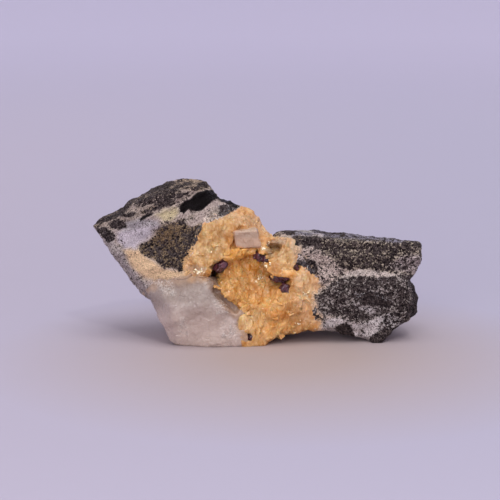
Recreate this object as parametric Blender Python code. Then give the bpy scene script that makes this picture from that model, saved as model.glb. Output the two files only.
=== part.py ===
"""Cinnabar in matrix: a hand specimen broken across a vein.

Two blocks of banded wall rock are held together by a vein of peach dolomite, with a mass of milky
quartz below its left side. The vein has an open hollow, lined with dolomite crystals, in which dark
red crystals of cinnabar sit. The stone lies on its quartz base and on a small foot of the right wall.

Lengths in the tables are millimetres: x runs along the stone, y goes from the broken front to the
back, and z goes up from the ground. Blender's own units are metres.
"""

import math
import random

import bmesh
import bpy
from mathutils import Euler, Matrix, Vector, noise
from mathutils.bvhtree import BVHTree

MM = 0.001
GAP = 0.3  # left between minerals that touch
GRAIN = 0.55  # edge of the voxels that the raw blocks are rebuilt with
STONE_FACES = 5200  # triangles of the raw stone, before the seams and the hollow are cut
CRUST = 1.0  # thickness of the crystal crust in the hollow
THROUGH = 24.0  # half depth of the seams, well past the stone's front and back
RHOMB_SQUASH = 0.8  # a cube squashed by this along its diagonal is the crystals' rhombohedron
VEIN_CRYSTALS = 50
VEIN_CRYSTAL_SIZES = (2.0, 3.8)
FROM_CONTACTS = 2.5  # how far the vein's crystals keep from its contacts
ABOVE_GROUND = 3.0  # and from the ground
BELOW_TOP = 24.0  # none stands in the vein's smooth top
DRUSE_CRYSTALS = 60
DRUSE_CRYSTAL_SIZES = (1.3, 2.6)
DRUSE_GRAIN = 0.4
DRUSE_FACES = 1300
HOLLOW_FACES = 400
MOUTH = -17.0  # just in front of the stone, where the raw crust is cut open
CALCITE_ROUNDING = 0.5
TO_MIDDLE = (-0.1, 1.0, 0.0)  # from the tables' origin to the ground below the stone's middle

# The corners of the raw blocks. Each block is the convex solid around its corners.
LEFT_WALL = [
    (-41.8, 0.0, 28.2), (-40.2, 1.0, 29.7), (-39.0, -2.0, 29.0),
    (-34.0, 3.0, 32.8), (-33.0, -5.0, 32.0), (-26.5, 3.0, 37.4), (-26.0, -6.0, 36.5),
    (-23.3, 3.0, 38.2), (-16.5, 3.0, 39.0), (-16.5, -6.5, 38.5), (-13.0, 3.0, 39.0),
    (-12.0, -6.0, 38.0), (-10.0, -7.0, 36.0), (-9.5, 0.0, 35.0),
    (-39.5, -2.0, 26.0), (-36.5, -4.0, 24.5), (-33.5, -6.5, 21.0), (-30.8, -9.0, 17.5),
    (-26.8, -11.0, 13.5), (-17.5, -12.5, 16.5), (-12.0, -12.5, 16.5),
    (-41.2, 1.0, 25.5), (-39.6, 2.0, 22.5), (-34.8, 0.0, 16.0), (-32.6, -2.0, 14.0),
    (-27.2, -5.0, 10.2), (-34.0, 7.0, 27.0), (-28.0, 11.0, 33.0), (-16.0, 14.0, 35.5),
    (-8.0, 14.0, 31.0), (-34.0, 6.0, 20.0), (-27.0, 10.0, 13.0), (-10.0, 14.0, 12.0),
]
LEFT_LEDGE = [
    (-11.0, -6.5, 33.5), (-11.0, 2.0, 35.0), (-8.8, -0.5, 34.8), (-8.8, -5.0, 34.4),
    (-4.6, -4.8, 33.0), (-4.6, -0.5, 33.3), (-5.0, -5.0, 30.0), (-11.0, -7.0, 30.0),
    (-5.0, 3.0, 30.0), (-11.0, 5.0, 30.0),
]
QUARTZ = [
    (-26.5, -11.0, 13.5), (-17.5, -13.0, 16.0), (-12.0, -13.0, 16.5), (-21.0, -15.5, 10.5),
    (-12.5, -16.5, 11.0), (-5.0, -15.0, 9.0), (-2.0, -14.0, 6.5), (-21.0, -12.0, 1.0),
    (-26.5, -7.0, 11.5), (-24.5, -8.0, 8.0), (-23.5, -8.0, 5.5), (-22.0, -8.0, 2.5),
    (-19.0, -13.5, -0.5), (-12.5, -14.8, -0.6), (-2.0, -14.3, -0.6), (-2.0, 8.0, -0.6),
    (-15.0, 6.0, -0.6), (-19.5, -4.0, -0.5), (-24.0, 5.0, 12.0), (-18.0, 11.5, 11.0),
    (-4.0, 13.5, 10.0), (-20.0, 8.5, 4.0),
]
VEIN_TOP = [
    (-8.0, -3.0, 34.0), (-3.2, -4.0, 33.2), (-1.8, -4.0, 32.2), (0.4, -4.0, 30.8),
    (2.2, -5.0, 28.9), (3.2, -5.5, 26.2), (-11.5, -11.0, 31.0), (-14.0, -11.5, 25.0),
    (-5.0, -11.0, 30.5), (1.5, -10.5, 26.0), (-12.5, -12.5, 20.0), (-5.0, 10.0, 26.5),
    (2.0, 9.0, 22.5), (-8.0, 13.5, 22.0),
]
VEIN_LOW = [
    (-9.0, -12.5, 14.5), (-2.0, -14.0, 8.0), (-3.0, -13.5, 2.0), (3.0, -12.6, 2.4),
    (7.5, -11.5, 3.3), (13.5, -10.5, 4.0), (18.0, -10.0, 4.2),
    (10.5, -9.8, 26.0), (10.5, -10.8, 20.5), (15.0, -11.3, 15.0), (14.5, -11.8, 10.0),
    (4.0, -9.0, 26.3), (-3.0, 13.0, 8.0), (-2.0, 6.0, 0.3), (8.0, 13.5, 5.0),
    (9.0, 12.5, 19.0), (1.0, 12.0, 21.0), (-10.0, 13.5, 14.0), (-10.0, 12.0, 24.0),
]
VEIN_FOOT = [
    (-3.5, -14.3, -0.6), (1.6, -13.3, -0.6), (4.2, -12.6, 2.2), (-2.5, -14.0, 6.0),
    (3.5, -12.0, 5.0), (-4.0, 4.0, -0.6), (0.5, 4.0, -0.3), (2.0, 6.0, 4.0), (-4.0, 7.0, 4.0),
]
RIGHT_SLAB = [
    (10.5, -9.5, 26.4), (22.5, -10.2, 25.8), (41.0, -8.0, 24.8), (41.2, -8.5, 20.0),
    (40.7, -8.3, 16.4), (15.5, -10.5, 15.0), (37.5, -10.0, 16.0), (4.0, 4.0, 25.2),
    (7.0, 9.0, 25.2), (9.0, 12.0, 24.6), (18.5, 13.0, 24.0), (24.0, 12.0, 23.0),
    (36.0, 10.0, 22.0), (40.5, 5.0, 22.5), (8.0, 14.0, 13.0), (24.0, 14.0, 12.0),
    (36.0, 10.5, 12.0), (39.8, 4.0, 15.0), (12.0, -9.0, 11.0), (30.0, -7.0, 12.0),
]
RIGHT_LOWER = [
    (22.5, -10.8, 17.0), (16.5, -11.8, 13.5), (14.5, -11.6, 10.0), (15.5, -10.8, 6.0),
    (18.5, -9.6, 3.0), (22.5, -9.3, 1.6), (29.0, -9.8, 0.2), (32.5, -10.0, 1.5),
    (37.0, -9.8, 5.5), (38.6, -10.2, 11.0), (37.5, -10.4, 15.5), (41.3, -4.5, 10.5),
    (41.0, -4.0, 6.5), (39.9, -5.0, 14.5), (11.0, 13.0, 6.0), (24.0, 12.5, 4.0),
    (34.0, 8.0, 5.0), (38.0, 6.0, 10.0), (30.0, 0.0, 1.0),
]
RIGHT_FOOT = [
    (29.5, -11.2, 2.5), (28.8, -11.2, -0.5), (31.3, -10.8, -0.5), (32.8, -10.2, 2.0),
    (32.0, -10.5, 5.0), (31.3, -5.0, -0.5), (28.5, -5.5, -0.5), (27.5, -6.0, 4.0),
    (32.5, -6.0, 4.0),
]

# The hollow in the vein, as the convex solids that are taken out of it.
HOLLOW = [
    (-12.2, -20.0, 19.2), (-10.4, -20.0, 23.3), (-6.5, -20.0, 25.4), (-1.5, -20.0, 26.2),
    (4.2, -20.0, 26.0), (3.6, -20.0, 19.0), (5.5, -20.0, 9.5), (1.5, -20.0, 7.5),
    (-3.8, -20.0, 9.6), (-10.0, -20.0, 14.6), (-9.2, -8.0, 20.6), (-3.0, -5.2, 22.6),
    (3.6, -4.8, 22.6), (3.4, -5.4, 18.5), (1.5, -7.2, 15.0), (-3.5, -8.0, 14.0),
    (-8.4, -8.8, 17.3), (-3.6, -10.6, 11.0), (0.6, -10.2, 8.6), (4.6, -9.8, 10.4),
]
SIDE_POCKET = [
    (4.2, -20.0, 18.8), (6.5, -20.0, 19.8), (10.8, -20.0, 19.0), (10.6, -20.0, 15.8),
    (8.8, -20.0, 12.4), (6.0, -20.0, 11.6), (3.6, -20.0, 13.0), (4.0, -6.2, 17.6),
    (9.2, -6.6, 17.8), (8.8, -6.6, 14.0), (4.5, -6.2, 13.6),
]
# The step under the vein's lower left edge, which leaves that edge standing over the quartz.
QUARTZ_STEP = [
    (-12.0, -20.0, 17.2), (-2.5, -20.0, 9.0), (-4.8, -20.0, 7.4), (-11.5, -20.0, 13.0),
    (-11.0, -12.0, 15.6), (-4.0, -12.6, 9.3), (-5.0, -12.9, 8.4), (-10.5, -12.8, 13.6),
]

# The contacts between the minerals, as (x, z) lines at the front and at the back of the stone.
# The left wall's contact starts above the stone and ends past its lower left edge.
LEFT_CONTACT_FRONT = [
    (-3.5, 42.0), (-4.5, 34.0), (-6.5, 32.0), (-12.5, 31.3), (-14.0, 27.5), (-16.5, 22.0),
    (-17.5, 19.0), (-16.0, 16.7), (-17.5, 16.3), (-24.0, 15.5), (-27.5, 13.0), (-34.0, 6.0),
]
LEFT_CONTACT_BACK = [
    (-9.0, 42.0), (-10.0, 34.0), (-11.5, 31.0), (-14.0, 28.0), (-15.0, 25.0), (-16.0, 22.0),
    (-16.5, 20.0), (-16.0, 18.0), (-18.5, 16.5), (-22.5, 14.5), (-26.5, 12.0), (-34.0, 4.0),
]
QUARTZ_CONTACT_FRONT = [
    (-16.0, 16.7), (-12.0, 16.6), (-7.0, 12.3), (-2.0, 7.6), (-4.5, 5.8), (-3.0, 3.8), (-2.5, -4.0),
]
QUARTZ_CONTACT_BACK = [
    (-16.0, 18.0), (-12.0, 15.5), (-9.0, 12.5), (-6.0, 9.5), (-5.0, 7.0), (-4.5, 4.0), (-4.0, -4.0),
]
RIGHT_CONTACT_FRONT = [
    (10.4, 34.0), (10.4, 22.3), (14.0, 18.0), (15.6, 14.8), (14.0, 11.0), (15.0, 7.0), (17.8, -4.0),
]
RIGHT_CONTACT_BACK = [
    (-4.0, 34.0), (-1.0, 22.0), (4.0, 18.0), (6.0, 14.5), (8.5, 11.0), (8.0, 7.0), (9.5, -4.0),
]
WALL_ON_VEIN = 8  # points of the left contact above the quartz
# Going back, a contact is its front line down to the first depth, steps aside to the second, and
# then bends towards its back line. The top of the right contact steps the other way, so the wall
# stands up behind the vein there.
CONTACT_STEP = -9.0
CONTACT_TURN = -4.0
STEP_ASIDE = 1.5
STEP_BEHIND = -5.0

# The crystals that stand alone, each as one or more rhombs: (place, size, turn about x, y and z).
CALCITE_BLOCK = [((-2.2, -9.8, 26.7), (6.7, 5.2, 4.8), (6, -6, -6))]
# The room in front of the calcite, where the vein would hide it.
CALCITE_WINDOW = [
    (x, y, z) for x, z in ((-6.4, 23.7), (-6.0, 26.5), (-4.6, 29.6), (1.2, 29.8), (1.8, 24.0)) for y in (-20.0, -10.6)
]
CINNABAR = {
    "cinnabar_left": [((-8.5, -11.3, 19.6), (3.1, 2.2, 1.9), (10, -50, 15))],
    "cinnabar_top": [
        ((0.9, -10.0, 21.9), (2.3, 2.3, 1.9), (20, 15, 30)),
        ((2.7, -10.9, 21.4), (2.0, 1.9, 1.6), (-15, 10, 20)),
    ],
    "cinnabar_right": [
        ((5.7, -9.4, 16.9), (3.9, 2.6, 3.0), (15, 12, 8)),
        ((8.4, -10.4, 16.9), (3.4, 2.2, 1.5), (-10, -12, 25)),
    ],
    "cinnabar_low": [((7.4, -11.4, 13.9), (2.6, 2.0, 2.0), (0, 35, 20))],
    "cinnabar_edge": [((10.3, -10.8, 19.3), (1.3, 1.3, 1.1), (25, 50, 0))],
    "cinnabar_foot": [((-1.7, -13.8, 2.3), (1.7, 1.7, 1.5), (0, 20, 35))],
}

# The middle of each large piece's box, by which the sawn bodies get their names.
MIDDLES = {
    "host_rock_left": (-23.0, 1.0, 25.0),
    "host_rock_right": (25.0, 1.0, 13.0),
    "quartz_mass": (-14.0, -1.0, 9.0),
    "dolomite_vein": (0.0, -1.0, 17.0),
}

# Bedding: the direction across the layers, and their spacing.
LEFT_BEDS = (Vector((-0.39, 0.0, 0.92)), 2.7)
RIGHT_BEDS = (Vector((0.06, 0.1, 0.99)), 3.6)


def clear_scene():
    for thing in list(bpy.data.objects):
        bpy.data.objects.remove(thing, do_unlink=True)


def material(name, color, roughness, transmission=0.0):
    made = bpy.data.materials.new(name)
    made.use_nodes = True
    shader = made.node_tree.nodes["Principled BSDF"]
    shader.inputs["Base Color"].default_value = (*color, 1.0)
    shader.inputs["Roughness"].default_value = roughness
    shader.inputs["Transmission Weight"].default_value = transmission
    return made


def object_of(shape, name):
    """A bmesh as an object in the scene, with its triangles pointing out."""
    bmesh.ops.triangulate(shape, faces=shape.faces[:])
    bmesh.ops.recalc_face_normals(shape, faces=shape.faces[:])
    mesh = bpy.data.meshes.new(name)
    shape.to_mesh(mesh)
    shape.free()
    made = bpy.data.objects.new(name, mesh)
    bpy.context.scene.collection.objects.link(made)
    return made


def bake(thing):
    """Applies the object's modifiers to its mesh."""
    bpy.context.view_layer.update()
    graph = bpy.context.evaluated_depsgraph_get()
    mesh = bpy.data.meshes.new_from_object(thing.evaluated_get(graph))
    thing.modifiers.clear()
    thing.data = mesh
    return thing


def copy_of(thing, name):
    made = bpy.data.objects.new(name, thing.data.copy())
    bpy.context.scene.collection.objects.link(made)
    return made


def remove(*things):
    for thing in things:
        bpy.data.objects.remove(thing, do_unlink=True)


def hull(corners, name="block"):
    """The convex solid around corners given in millimetres."""
    shape = bmesh.new()
    for corner in corners:
        shape.verts.new(Vector(corner) * MM)
    made = bmesh.ops.convex_hull(shape, input=shape.verts[:])
    spare = [part for part in made["geom_interior"] + made["geom_unused"]
             if isinstance(part, bmesh.types.BMVert)]
    bmesh.ops.delete(shape, geom=list(set(spare)), context="VERTS")
    return object_of(shape, name)


def rebuild(thing, grain=GRAIN):
    """Even small faces over the whole surface, which also joins shapes that overlap."""
    modifier = thing.modifiers.new("rebuild", "REMESH")
    modifier.mode = "VOXEL"
    modifier.voxel_size = grain * MM
    return bake(thing)


def carve(thing, relief):
    """Moves each point along its normal by relief, a height in millimetres."""
    mesh = thing.data
    for vertex, normal in zip(mesh.vertices, [v.normal.copy() for v in mesh.vertices]):
        vertex.co += normal * relief(vertex.co / MM) * MM
    mesh.update()
    return thing


def thin_out(thing, triangles):
    """Fewer faces, kept where the surface bends."""
    thing.data.calc_loop_triangles()
    modifier = thing.modifiers.new("thin", "DECIMATE")
    modifier.ratio = triangles / len(thing.data.loop_triangles)
    modifier.use_collapse_triangulate = True
    return bake(thing)


def boolean(thing, other, operation):
    modifier = thing.modifiers.new(operation.lower(), "BOOLEAN")
    modifier.operation = operation
    modifier.object = other
    modifier.solver = "EXACT"
    return bake(thing)


def joined(things, name):
    """One object with the meshes of all of them, still overlapping."""
    shape = bmesh.new()
    for thing in things:
        shape.from_mesh(thing.data)
    remove(*things)
    return object_of(shape, name)


# Reliefs: each gives a height in millimetres for a point in millimetres.
def broken(point, size, seed):
    """Flat broken faces, each tilted its own way, that meet at edges."""
    where = point / size + Vector((seed, seed * 1.7, seed * 0.6))
    centres = noise.voronoi(where)[1]
    heights = []
    for centre in centres[:3]:
        tilt = noise.cell_vector(centre * 31.7) - Vector((0.5, 0.5, 0.5))
        heights.append((where - centre).dot(tilt) * 1.6)
    return max(heights)


def beds(point, across, spacing, seed):
    """Layers that end in small ledges."""
    wander = 0.5 * noise.noise(point / 9.0 + Vector((seed, 0.0, 0.0)))
    level = point.dot(across) / spacing + wander
    share = level - math.floor(level)
    tread = noise.noise(Vector((math.floor(level) * 5.3, seed, point.x / 14.0)))
    return 0.9 * tread - 0.45 * share


def left_wall_relief(point):
    return 0.9 * broken(point, 7.5, 3.0) + beds(point, *LEFT_BEDS, 2.0)


def right_wall_relief(point):
    return 0.8 * broken(point, 6.0, 11.0) + 0.8 * beds(point, *RIGHT_BEDS, 7.0)


def quartz_relief(point):
    lumps = noise.noise(point / 8.0 + Vector((4.0, 0.0, 0.0)))
    return 0.9 * lumps + 0.9 * broken(point, 6.5, 5.0)


def vein_relief(point):
    lumps = noise.noise(point / 7.0 + Vector((0.0, 9.0, 0.0)))
    return 0.6 * lumps + 1.2 * broken(point, 3.6, 8.0)


def hollow_relief(point):
    return 1.6 * broken(point, 4.2, 17.0)


def block(corners, relief):
    return carve(rebuild(hull(corners)), relief)


def raw_stone():
    """All the blocks and the vein's larger crystals as one solid, cut flat where it stands."""
    blocks = [
        block(LEFT_WALL, left_wall_relief),
        block(LEFT_LEDGE, left_wall_relief),
        block(QUARTZ, quartz_relief),
        block(VEIN_TOP, vein_relief),
        block(VEIN_LOW, vein_relief),
        block(VEIN_FOOT, vein_relief),
        block(RIGHT_SLAB, right_wall_relief),
        block(RIGHT_LOWER, right_wall_relief),
        block(RIGHT_FOOT, right_wall_relief),
    ]
    stone = rebuild(joined(blocks, "stone"))
    stone = rebuild(joined([stone, *vein_crystals(stone)], "stone"))
    thin_out(stone, STONE_FACES)
    shape = bmesh.new()
    shape.from_mesh(stone.data)
    everything = shape.verts[:] + shape.edges[:] + shape.faces[:]
    cut = bmesh.ops.bisect_plane(
        shape, geom=everything, plane_co=(0, 0, 0), plane_no=(0, 0, 1), clear_inner=True)
    rim = [part for part in cut["geom_cut"] if isinstance(part, bmesh.types.BMEdge)]
    bmesh.ops.holes_fill(shape, edges=rim, sides=0)
    remove(stone)
    return object_of(shape, "stone")


def seam(front, back, name, behind=0):
    """A thin wall along a contact, which parts the minerals by the gap that they keep.

    The contact's first points, as many as behind says, step to the other side."""
    shape = bmesh.new()
    turned = [(x + (STEP_BEHIND if i < behind else STEP_ASIDE), z) for i, (x, z) in enumerate(front)]
    rows = []
    for depth, line in ((-THROUGH, front), (CONTACT_STEP, front), (CONTACT_TURN, turned), (THROUGH, back)):
        rows.append([shape.verts.new(Vector((x, depth, z)) * MM) for x, z in line])
    for near, far in zip(rows, rows[1:]):
        for i in range(len(near) - 1):
            shape.faces.new((near[i], near[i + 1], far[i + 1], far[i]))
    wall = object_of(shape, name)
    modifier = wall.modifiers.new("thickness", "SOLIDIFY")
    modifier.thickness = GAP * MM
    modifier.offset = 0.0
    modifier.use_even_offset = True
    return bake(wall)


def bodies_of(thing):
    """The separate bodies of an object, each as an object of its own, largest first."""
    whole = bmesh.new()
    whole.from_mesh(thing.data)
    left = set(whole.faces)
    groups = []
    while left:
        group = [left.pop()]
        for face in group:
            for edge in face.edges:
                touching = left.intersection(edge.link_faces)
                left -= touching
                group += touching
        groups.append({face.index for face in group})
    whole.free()
    bodies = []
    for group in groups:
        body = bmesh.new()
        body.from_mesh(thing.data)
        spare = [face for face in body.faces if face.index not in group]
        bmesh.ops.delete(body, geom=spare, context="FACES")
        bodies.append((abs(body.calc_volume()), object_of(body, "body")))
    bodies.sort(key=lambda found: -found[0])
    remove(thing)
    return [body for _, body in bodies]


def tree_of(thing):
    shape = bmesh.new()
    shape.from_mesh(thing.data)
    tree = BVHTree.FromBMesh(shape)
    shape.free()
    return tree


def rhomb(place, size, turn, name="crystal", grow=0.0):
    """A rhombohedron, the shape that dolomite and cinnabar crystals take, around a place."""
    shape = bmesh.new()
    bmesh.ops.create_cube(shape, size=MM)
    bmesh.ops.transform(shape, matrix=Matrix.Scale(RHOMB_SQUASH, 4, Vector((1, 1, 1))), verts=shape.verts)
    bmesh.ops.scale(shape, vec=[side + 2 * grow for side in size], verts=shape.verts)
    bmesh.ops.rotate(shape, matrix=Euler([math.radians(a) for a in turn]).to_matrix(), verts=shape.verts)
    bmesh.ops.translate(shape, vec=Vector(place) * MM, verts=shape.verts)
    return object_of(shape, name)


def line_x(front, back, point):
    """The x of a contact at the point's depth and height."""
    share = max(0.0, (point.y - CONTACT_TURN) / (THROUGH - CONTACT_TURN))
    line = [(near[0] + (far[0] - near[0]) * share, near[1] + (far[1] - near[1]) * share)
            for near, far in zip(front, back)]
    for (x0, z0), (x1, z1) in zip(line, line[1:]):
        if min(z0, z1) <= point.z <= max(z0, z1) and z0 != z1:
            return x0 + (x1 - x0) * (point.z - z0) / (z1 - z0)
    return line[-1][0]


def in_vein(point, clear):
    """Whether a point in millimetres is in the vein, this far from its contacts."""
    if point.z > LEFT_CONTACT_FRONT[WALL_ON_VEIN - 1][1]:
        first = line_x(LEFT_CONTACT_FRONT[:WALL_ON_VEIN], LEFT_CONTACT_BACK[:WALL_ON_VEIN], point)
    else:
        first = line_x(QUARTZ_CONTACT_FRONT, QUARTZ_CONTACT_BACK, point)
    last = line_x(RIGHT_CONTACT_FRONT, RIGHT_CONTACT_BACK, point)
    return first + clear < point.x < last - clear


def crystals_on(faces, count, sizes, lean, draw):
    """Rhombs sunk into faces of a mesh, each leaning its own way."""
    crystals = []
    for face in draw.choices(faces, [face.area for face in faces], k=count):
        size = draw.uniform(*sizes)
        sides = [size * draw.uniform(0.8, 1.25) for _ in range(3)]
        place = face.center / MM - face.normal * size * draw.uniform(0.15, 0.35)
        turn = face.normal.to_track_quat("Z", "Y").to_euler()
        crystals.append(rhomb(place, sides, [math.degrees(a) + draw.uniform(-lean, lean) for a in turn]))
    return crystals


def vein_crystals(stone):
    faces = [face for face in stone.data.polygons
             if ABOVE_GROUND * MM < face.center.z < BELOW_TOP * MM
             and in_vein(face.center / MM, FROM_CONTACTS)]
    return crystals_on(faces, VEIN_CRYSTALS, VEIN_CRYSTAL_SIZES, 25, random.Random(5))


def largest_body(thing, name):
    """The main body, without the chips that a cut leaves beside it."""
    bodies = bodies_of(thing)
    remove(*bodies[1:])
    bodies[0].name = name
    return bodies[0]


def shrunk(thing, distance, name):
    """A copy whose surface lies this far inside."""
    return carve(copy_of(thing, name), lambda point: -distance)


def druse(hollow, envelope):
    """The crust that lines the hollow, with its crystals pointing in."""
    crust = shrunk(hollow, 2 * GAP, "crust")
    inside = rebuild(shrunk(hollow, 2 * GAP + CRUST, "inside"))
    boolean(crust, inside, "DIFFERENCE")
    mouth = hull([(x, y, z) for x in (-20, 20) for y in (MOUTH, 20) for z in (0, 40)], "mouth")
    boolean(crust, mouth, "INTERSECT")
    lining = tree_of(inside)
    faces = [face for face in crust.data.polygons if lining.find_nearest(face.center)[3] < 0.02 * MM]
    crystals = crystals_on(faces, DRUSE_CRYSTALS, DRUSE_CRYSTAL_SIZES, 35, random.Random(21))
    crust = rebuild(joined([crust, *crystals], "crust"), DRUSE_GRAIN)
    room = shrunk(hollow, 2 * GAP, "room")
    boolean(crust, room, "INTERSECT")
    thin_out(rebuild(crust, DRUSE_GRAIN), DRUSE_FACES)
    boolean(crust, envelope, "INTERSECT")
    remove(inside, room, mouth)
    return largest_body(crust, "vug_druse")


def rounded(thing, radius):
    modifier = thing.modifiers.new("rounded", "BEVEL")
    modifier.width = radius * MM
    modifier.segments = 2
    return bake(thing)


def lone_crystal(name, rhombs, hosts):
    """A crystal that sits in a pocket of the pieces around it."""
    for host in hosts:
        for place, size, turn in rhombs:
            pocket = rhomb(place, size, turn, "pocket", GAP)
            boolean(host, pocket, "DIFFERENCE")
            remove(pocket)
    crystal = rhomb(*rhombs[0], name)
    for place, size, turn in rhombs[1:]:
        other = rhomb(place, size, turn)
        boolean(crystal, other, "UNION")
        remove(other)
    return crystal


def parted(stone):
    """The stone sawn along its contacts, as host rock, vein and quartz pieces by name."""
    for front, back, behind in (
        (LEFT_CONTACT_FRONT, LEFT_CONTACT_BACK, 0),
        (QUARTZ_CONTACT_FRONT, QUARTZ_CONTACT_BACK, 0),
        (RIGHT_CONTACT_FRONT, RIGHT_CONTACT_BACK, 2),
    ):
        wall = seam(front, back, "seam", behind)
        boolean(stone, wall, "DIFFERENCE")
        remove(wall)
    bodies = bodies_of(stone)
    remove(*bodies[len(MIDDLES):])
    pieces = {}
    for name, middle in MIDDLES.items():
        pieces[name] = min(bodies[:len(MIDDLES)], key=lambda body: distance_to(body, middle))
        pieces[name].name = name
    return pieces


def distance_to(thing, middle):
    corners = [Vector(corner) / MM for corner in thing.bound_box]
    return (sum(corners, Vector()) / len(corners) - Vector(middle)).length


def hollow_form():
    hollow = joined([hull(HOLLOW), hull(SIDE_POCKET)], "hollow")
    carve(rebuild(hollow), hollow_relief)
    return thin_out(rebuild(hollow), HOLLOW_FACES)


def over_the_origin(pieces):
    """Moves the pieces so that the origin is on the ground below the middle of the stone."""
    for piece in pieces:
        piece.data.transform(Matrix.Translation(Vector(TO_MIDDLE) * MM))


def main():
    clear_scene()
    stone = raw_stone()
    envelope = copy_of(stone, "envelope")
    pieces = parted(stone)
    hollow = hollow_form()
    crust = druse(hollow, envelope)
    vein, quartz = pieces["dolomite_vein"], pieces["quartz_mass"]
    step = hull(QUARTZ_STEP)
    window = hull(CALCITE_WINDOW)
    boolean(quartz, step, "DIFFERENCE")
    boolean(vein, hollow, "DIFFERENCE")
    boolean(vein, window, "DIFFERENCE")
    remove(step, window, hollow, envelope)

    lone = [rounded(lone_crystal("calcite_block", CALCITE_BLOCK, [vein, crust]), CALCITE_ROUNDING)]
    for name, rhombs in CINNABAR.items():
        lone.append(lone_crystal(name, rhombs, [vein, crust]))
    pieces["dolomite_vein"] = largest_body(vein, "dolomite_vein")
    pieces["vug_druse"] = largest_body(crust, "vug_druse")

    finish = {
        "host_rock_left": material("bedded_rock", (0.56, 0.47, 0.40), 0.75),
        "host_rock_right": material("speckled_rock", (0.16, 0.145, 0.13), 0.7),
        "quartz_mass": material("milky_quartz", (0.72, 0.68, 0.70), 0.35, 0.2),
        "dolomite_vein": material("peach_dolomite", (0.84, 0.60, 0.36), 0.4),
        "vug_druse": material("golden_dolomite", (0.72, 0.46, 0.17), 0.35),
        "calcite_block": material("lilac_calcite", (0.66, 0.52, 0.48), 0.4),
    }
    cinnabar = material("cinnabar", (0.09, 0.012, 0.018), 0.2)
    everything = [*pieces.values(), *lone]
    for piece in everything:
        piece.data.materials.clear()
        piece.data.materials.append(finish.get(piece.name, cinnabar))
    over_the_origin(everything)


main()
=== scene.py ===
# %% [markdown]
# # Cinnabar in matrix
# A hand specimen of broken rock: two blocks of banded wall rock, a vein of peach dolomite between
# them with an open hollow, milky quartz below, and dark red crystals of cinnabar in the hollow.
# The imported model gives every mineral as a plain closed solid. Each one is copied here in fine even
# faces, gets the relief and the small crystals of its mineral, and a finish made of shader nodes.
# The first step loads that model.

import math
import random

import bmesh
import bpy
import numpy as np
from mathutils import Euler, Matrix, Vector
from mathutils.bvhtree import BVHTree


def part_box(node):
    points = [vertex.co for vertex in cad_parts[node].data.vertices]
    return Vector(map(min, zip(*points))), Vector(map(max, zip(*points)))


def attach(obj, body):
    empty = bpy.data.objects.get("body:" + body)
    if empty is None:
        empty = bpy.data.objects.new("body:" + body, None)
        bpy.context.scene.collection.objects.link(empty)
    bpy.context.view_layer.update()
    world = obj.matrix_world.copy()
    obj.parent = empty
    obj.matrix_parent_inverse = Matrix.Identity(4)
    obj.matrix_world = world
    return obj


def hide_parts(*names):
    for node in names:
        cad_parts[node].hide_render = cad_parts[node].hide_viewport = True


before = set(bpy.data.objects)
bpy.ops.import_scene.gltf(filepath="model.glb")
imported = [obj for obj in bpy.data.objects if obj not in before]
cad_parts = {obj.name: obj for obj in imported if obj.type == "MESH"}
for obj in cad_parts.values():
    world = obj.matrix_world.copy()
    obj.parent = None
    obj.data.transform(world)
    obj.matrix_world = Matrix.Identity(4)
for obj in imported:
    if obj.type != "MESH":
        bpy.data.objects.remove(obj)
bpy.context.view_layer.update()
MM = 0.001

# %% [markdown]
# ## A fine copy of a solid
# A broken face of stone has no large flat triangles, so the copy needs faces smaller than its
# relief. A voxel Remesh modifier wraps the solid in a net of even squares. Subdividing would keep
# the long thin triangles that the solids have along their cuts, so the net is the better base.
# A few rounds of smoothing take the hard corners off it before the relief goes on.

# %% Fine copies
COARSE = 1.0


def applied(piece):
    """Turns the piece's modifiers into its mesh."""
    bpy.context.view_layer.update()
    graph = bpy.context.evaluated_depsgraph_get()
    mesh = bpy.data.meshes.new_from_object(piece.evaluated_get(graph))
    piece.modifiers.clear()
    piece.data = mesh
    return piece


def piece_from(shape, name):
    """An object in the scene made of a bmesh."""
    mesh = bpy.data.meshes.new(name)
    shape.to_mesh(mesh)
    shape.free()
    piece = bpy.data.objects.new(name, mesh)
    bpy.context.scene.collection.objects.link(piece)
    return piece


def fine_copy(node, name, grain, rounds=0):
    """The node's shape again in even faces of about this size in millimetres."""
    shape = bmesh.new()
    shape.from_mesh(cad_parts[node].data)
    bmesh.ops.remove_doubles(shape, verts=shape.verts, dist=0.001 * MM)
    piece = piece_from(shape, name)
    net = piece.modifiers.new("net", "REMESH")
    net.mode = "VOXEL"
    net.voxel_size = grain * COARSE * MM
    if rounds:
        soft = piece.modifiers.new("soft", "SMOOTH")
        soft.factor = 0.5
        soft.iterations = max(1, round(rounds / COARSE))
    return applied(piece)


def rows(items, key):
    """One vector of each item of a mesh, such as its co or center, in rows of three numbers."""
    flat = np.empty(len(items) * 3, np.float32)
    items.foreach_get(key, flat)
    return flat.reshape(-1, 3).astype(float)


def points_of(piece):
    """The piece's points in millimetres."""
    return rows(piece.data.vertices, "co") / MM


def centres_of(piece):
    """The middles of the piece's faces in millimetres."""
    return rows(piece.data.polygons, "center") / MM


def normals_of(piece):
    """The way out of the piece at each point."""
    return rows(piece.data.vertex_normals, "vector")


def set_points(piece, points):
    """Puts the points at these places in millimetres, and none below ground."""
    points[:, 2] = np.maximum(points[:, 2], 0.0)
    piece.data.vertices.foreach_set("co", (points * MM).ravel())
    piece.data.update()


def raise_by(piece, heights):
    """Moves the points out along their normals by heights in millimetres."""
    set_points(piece, points_of(piece) + normals_of(piece) * heights[:, None])


def dress(piece, look):
    """Gives a finished piece its material and smooth shading, and says how fine it is."""
    piece.data.materials.append(look)
    piece.data.polygons.foreach_set("use_smooth", np.ones(len(piece.data.polygons), bool))
    print(piece.name, "has", len(piece.data.polygons), "faces")


print("the faces are", "as fine as they get")

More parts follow.
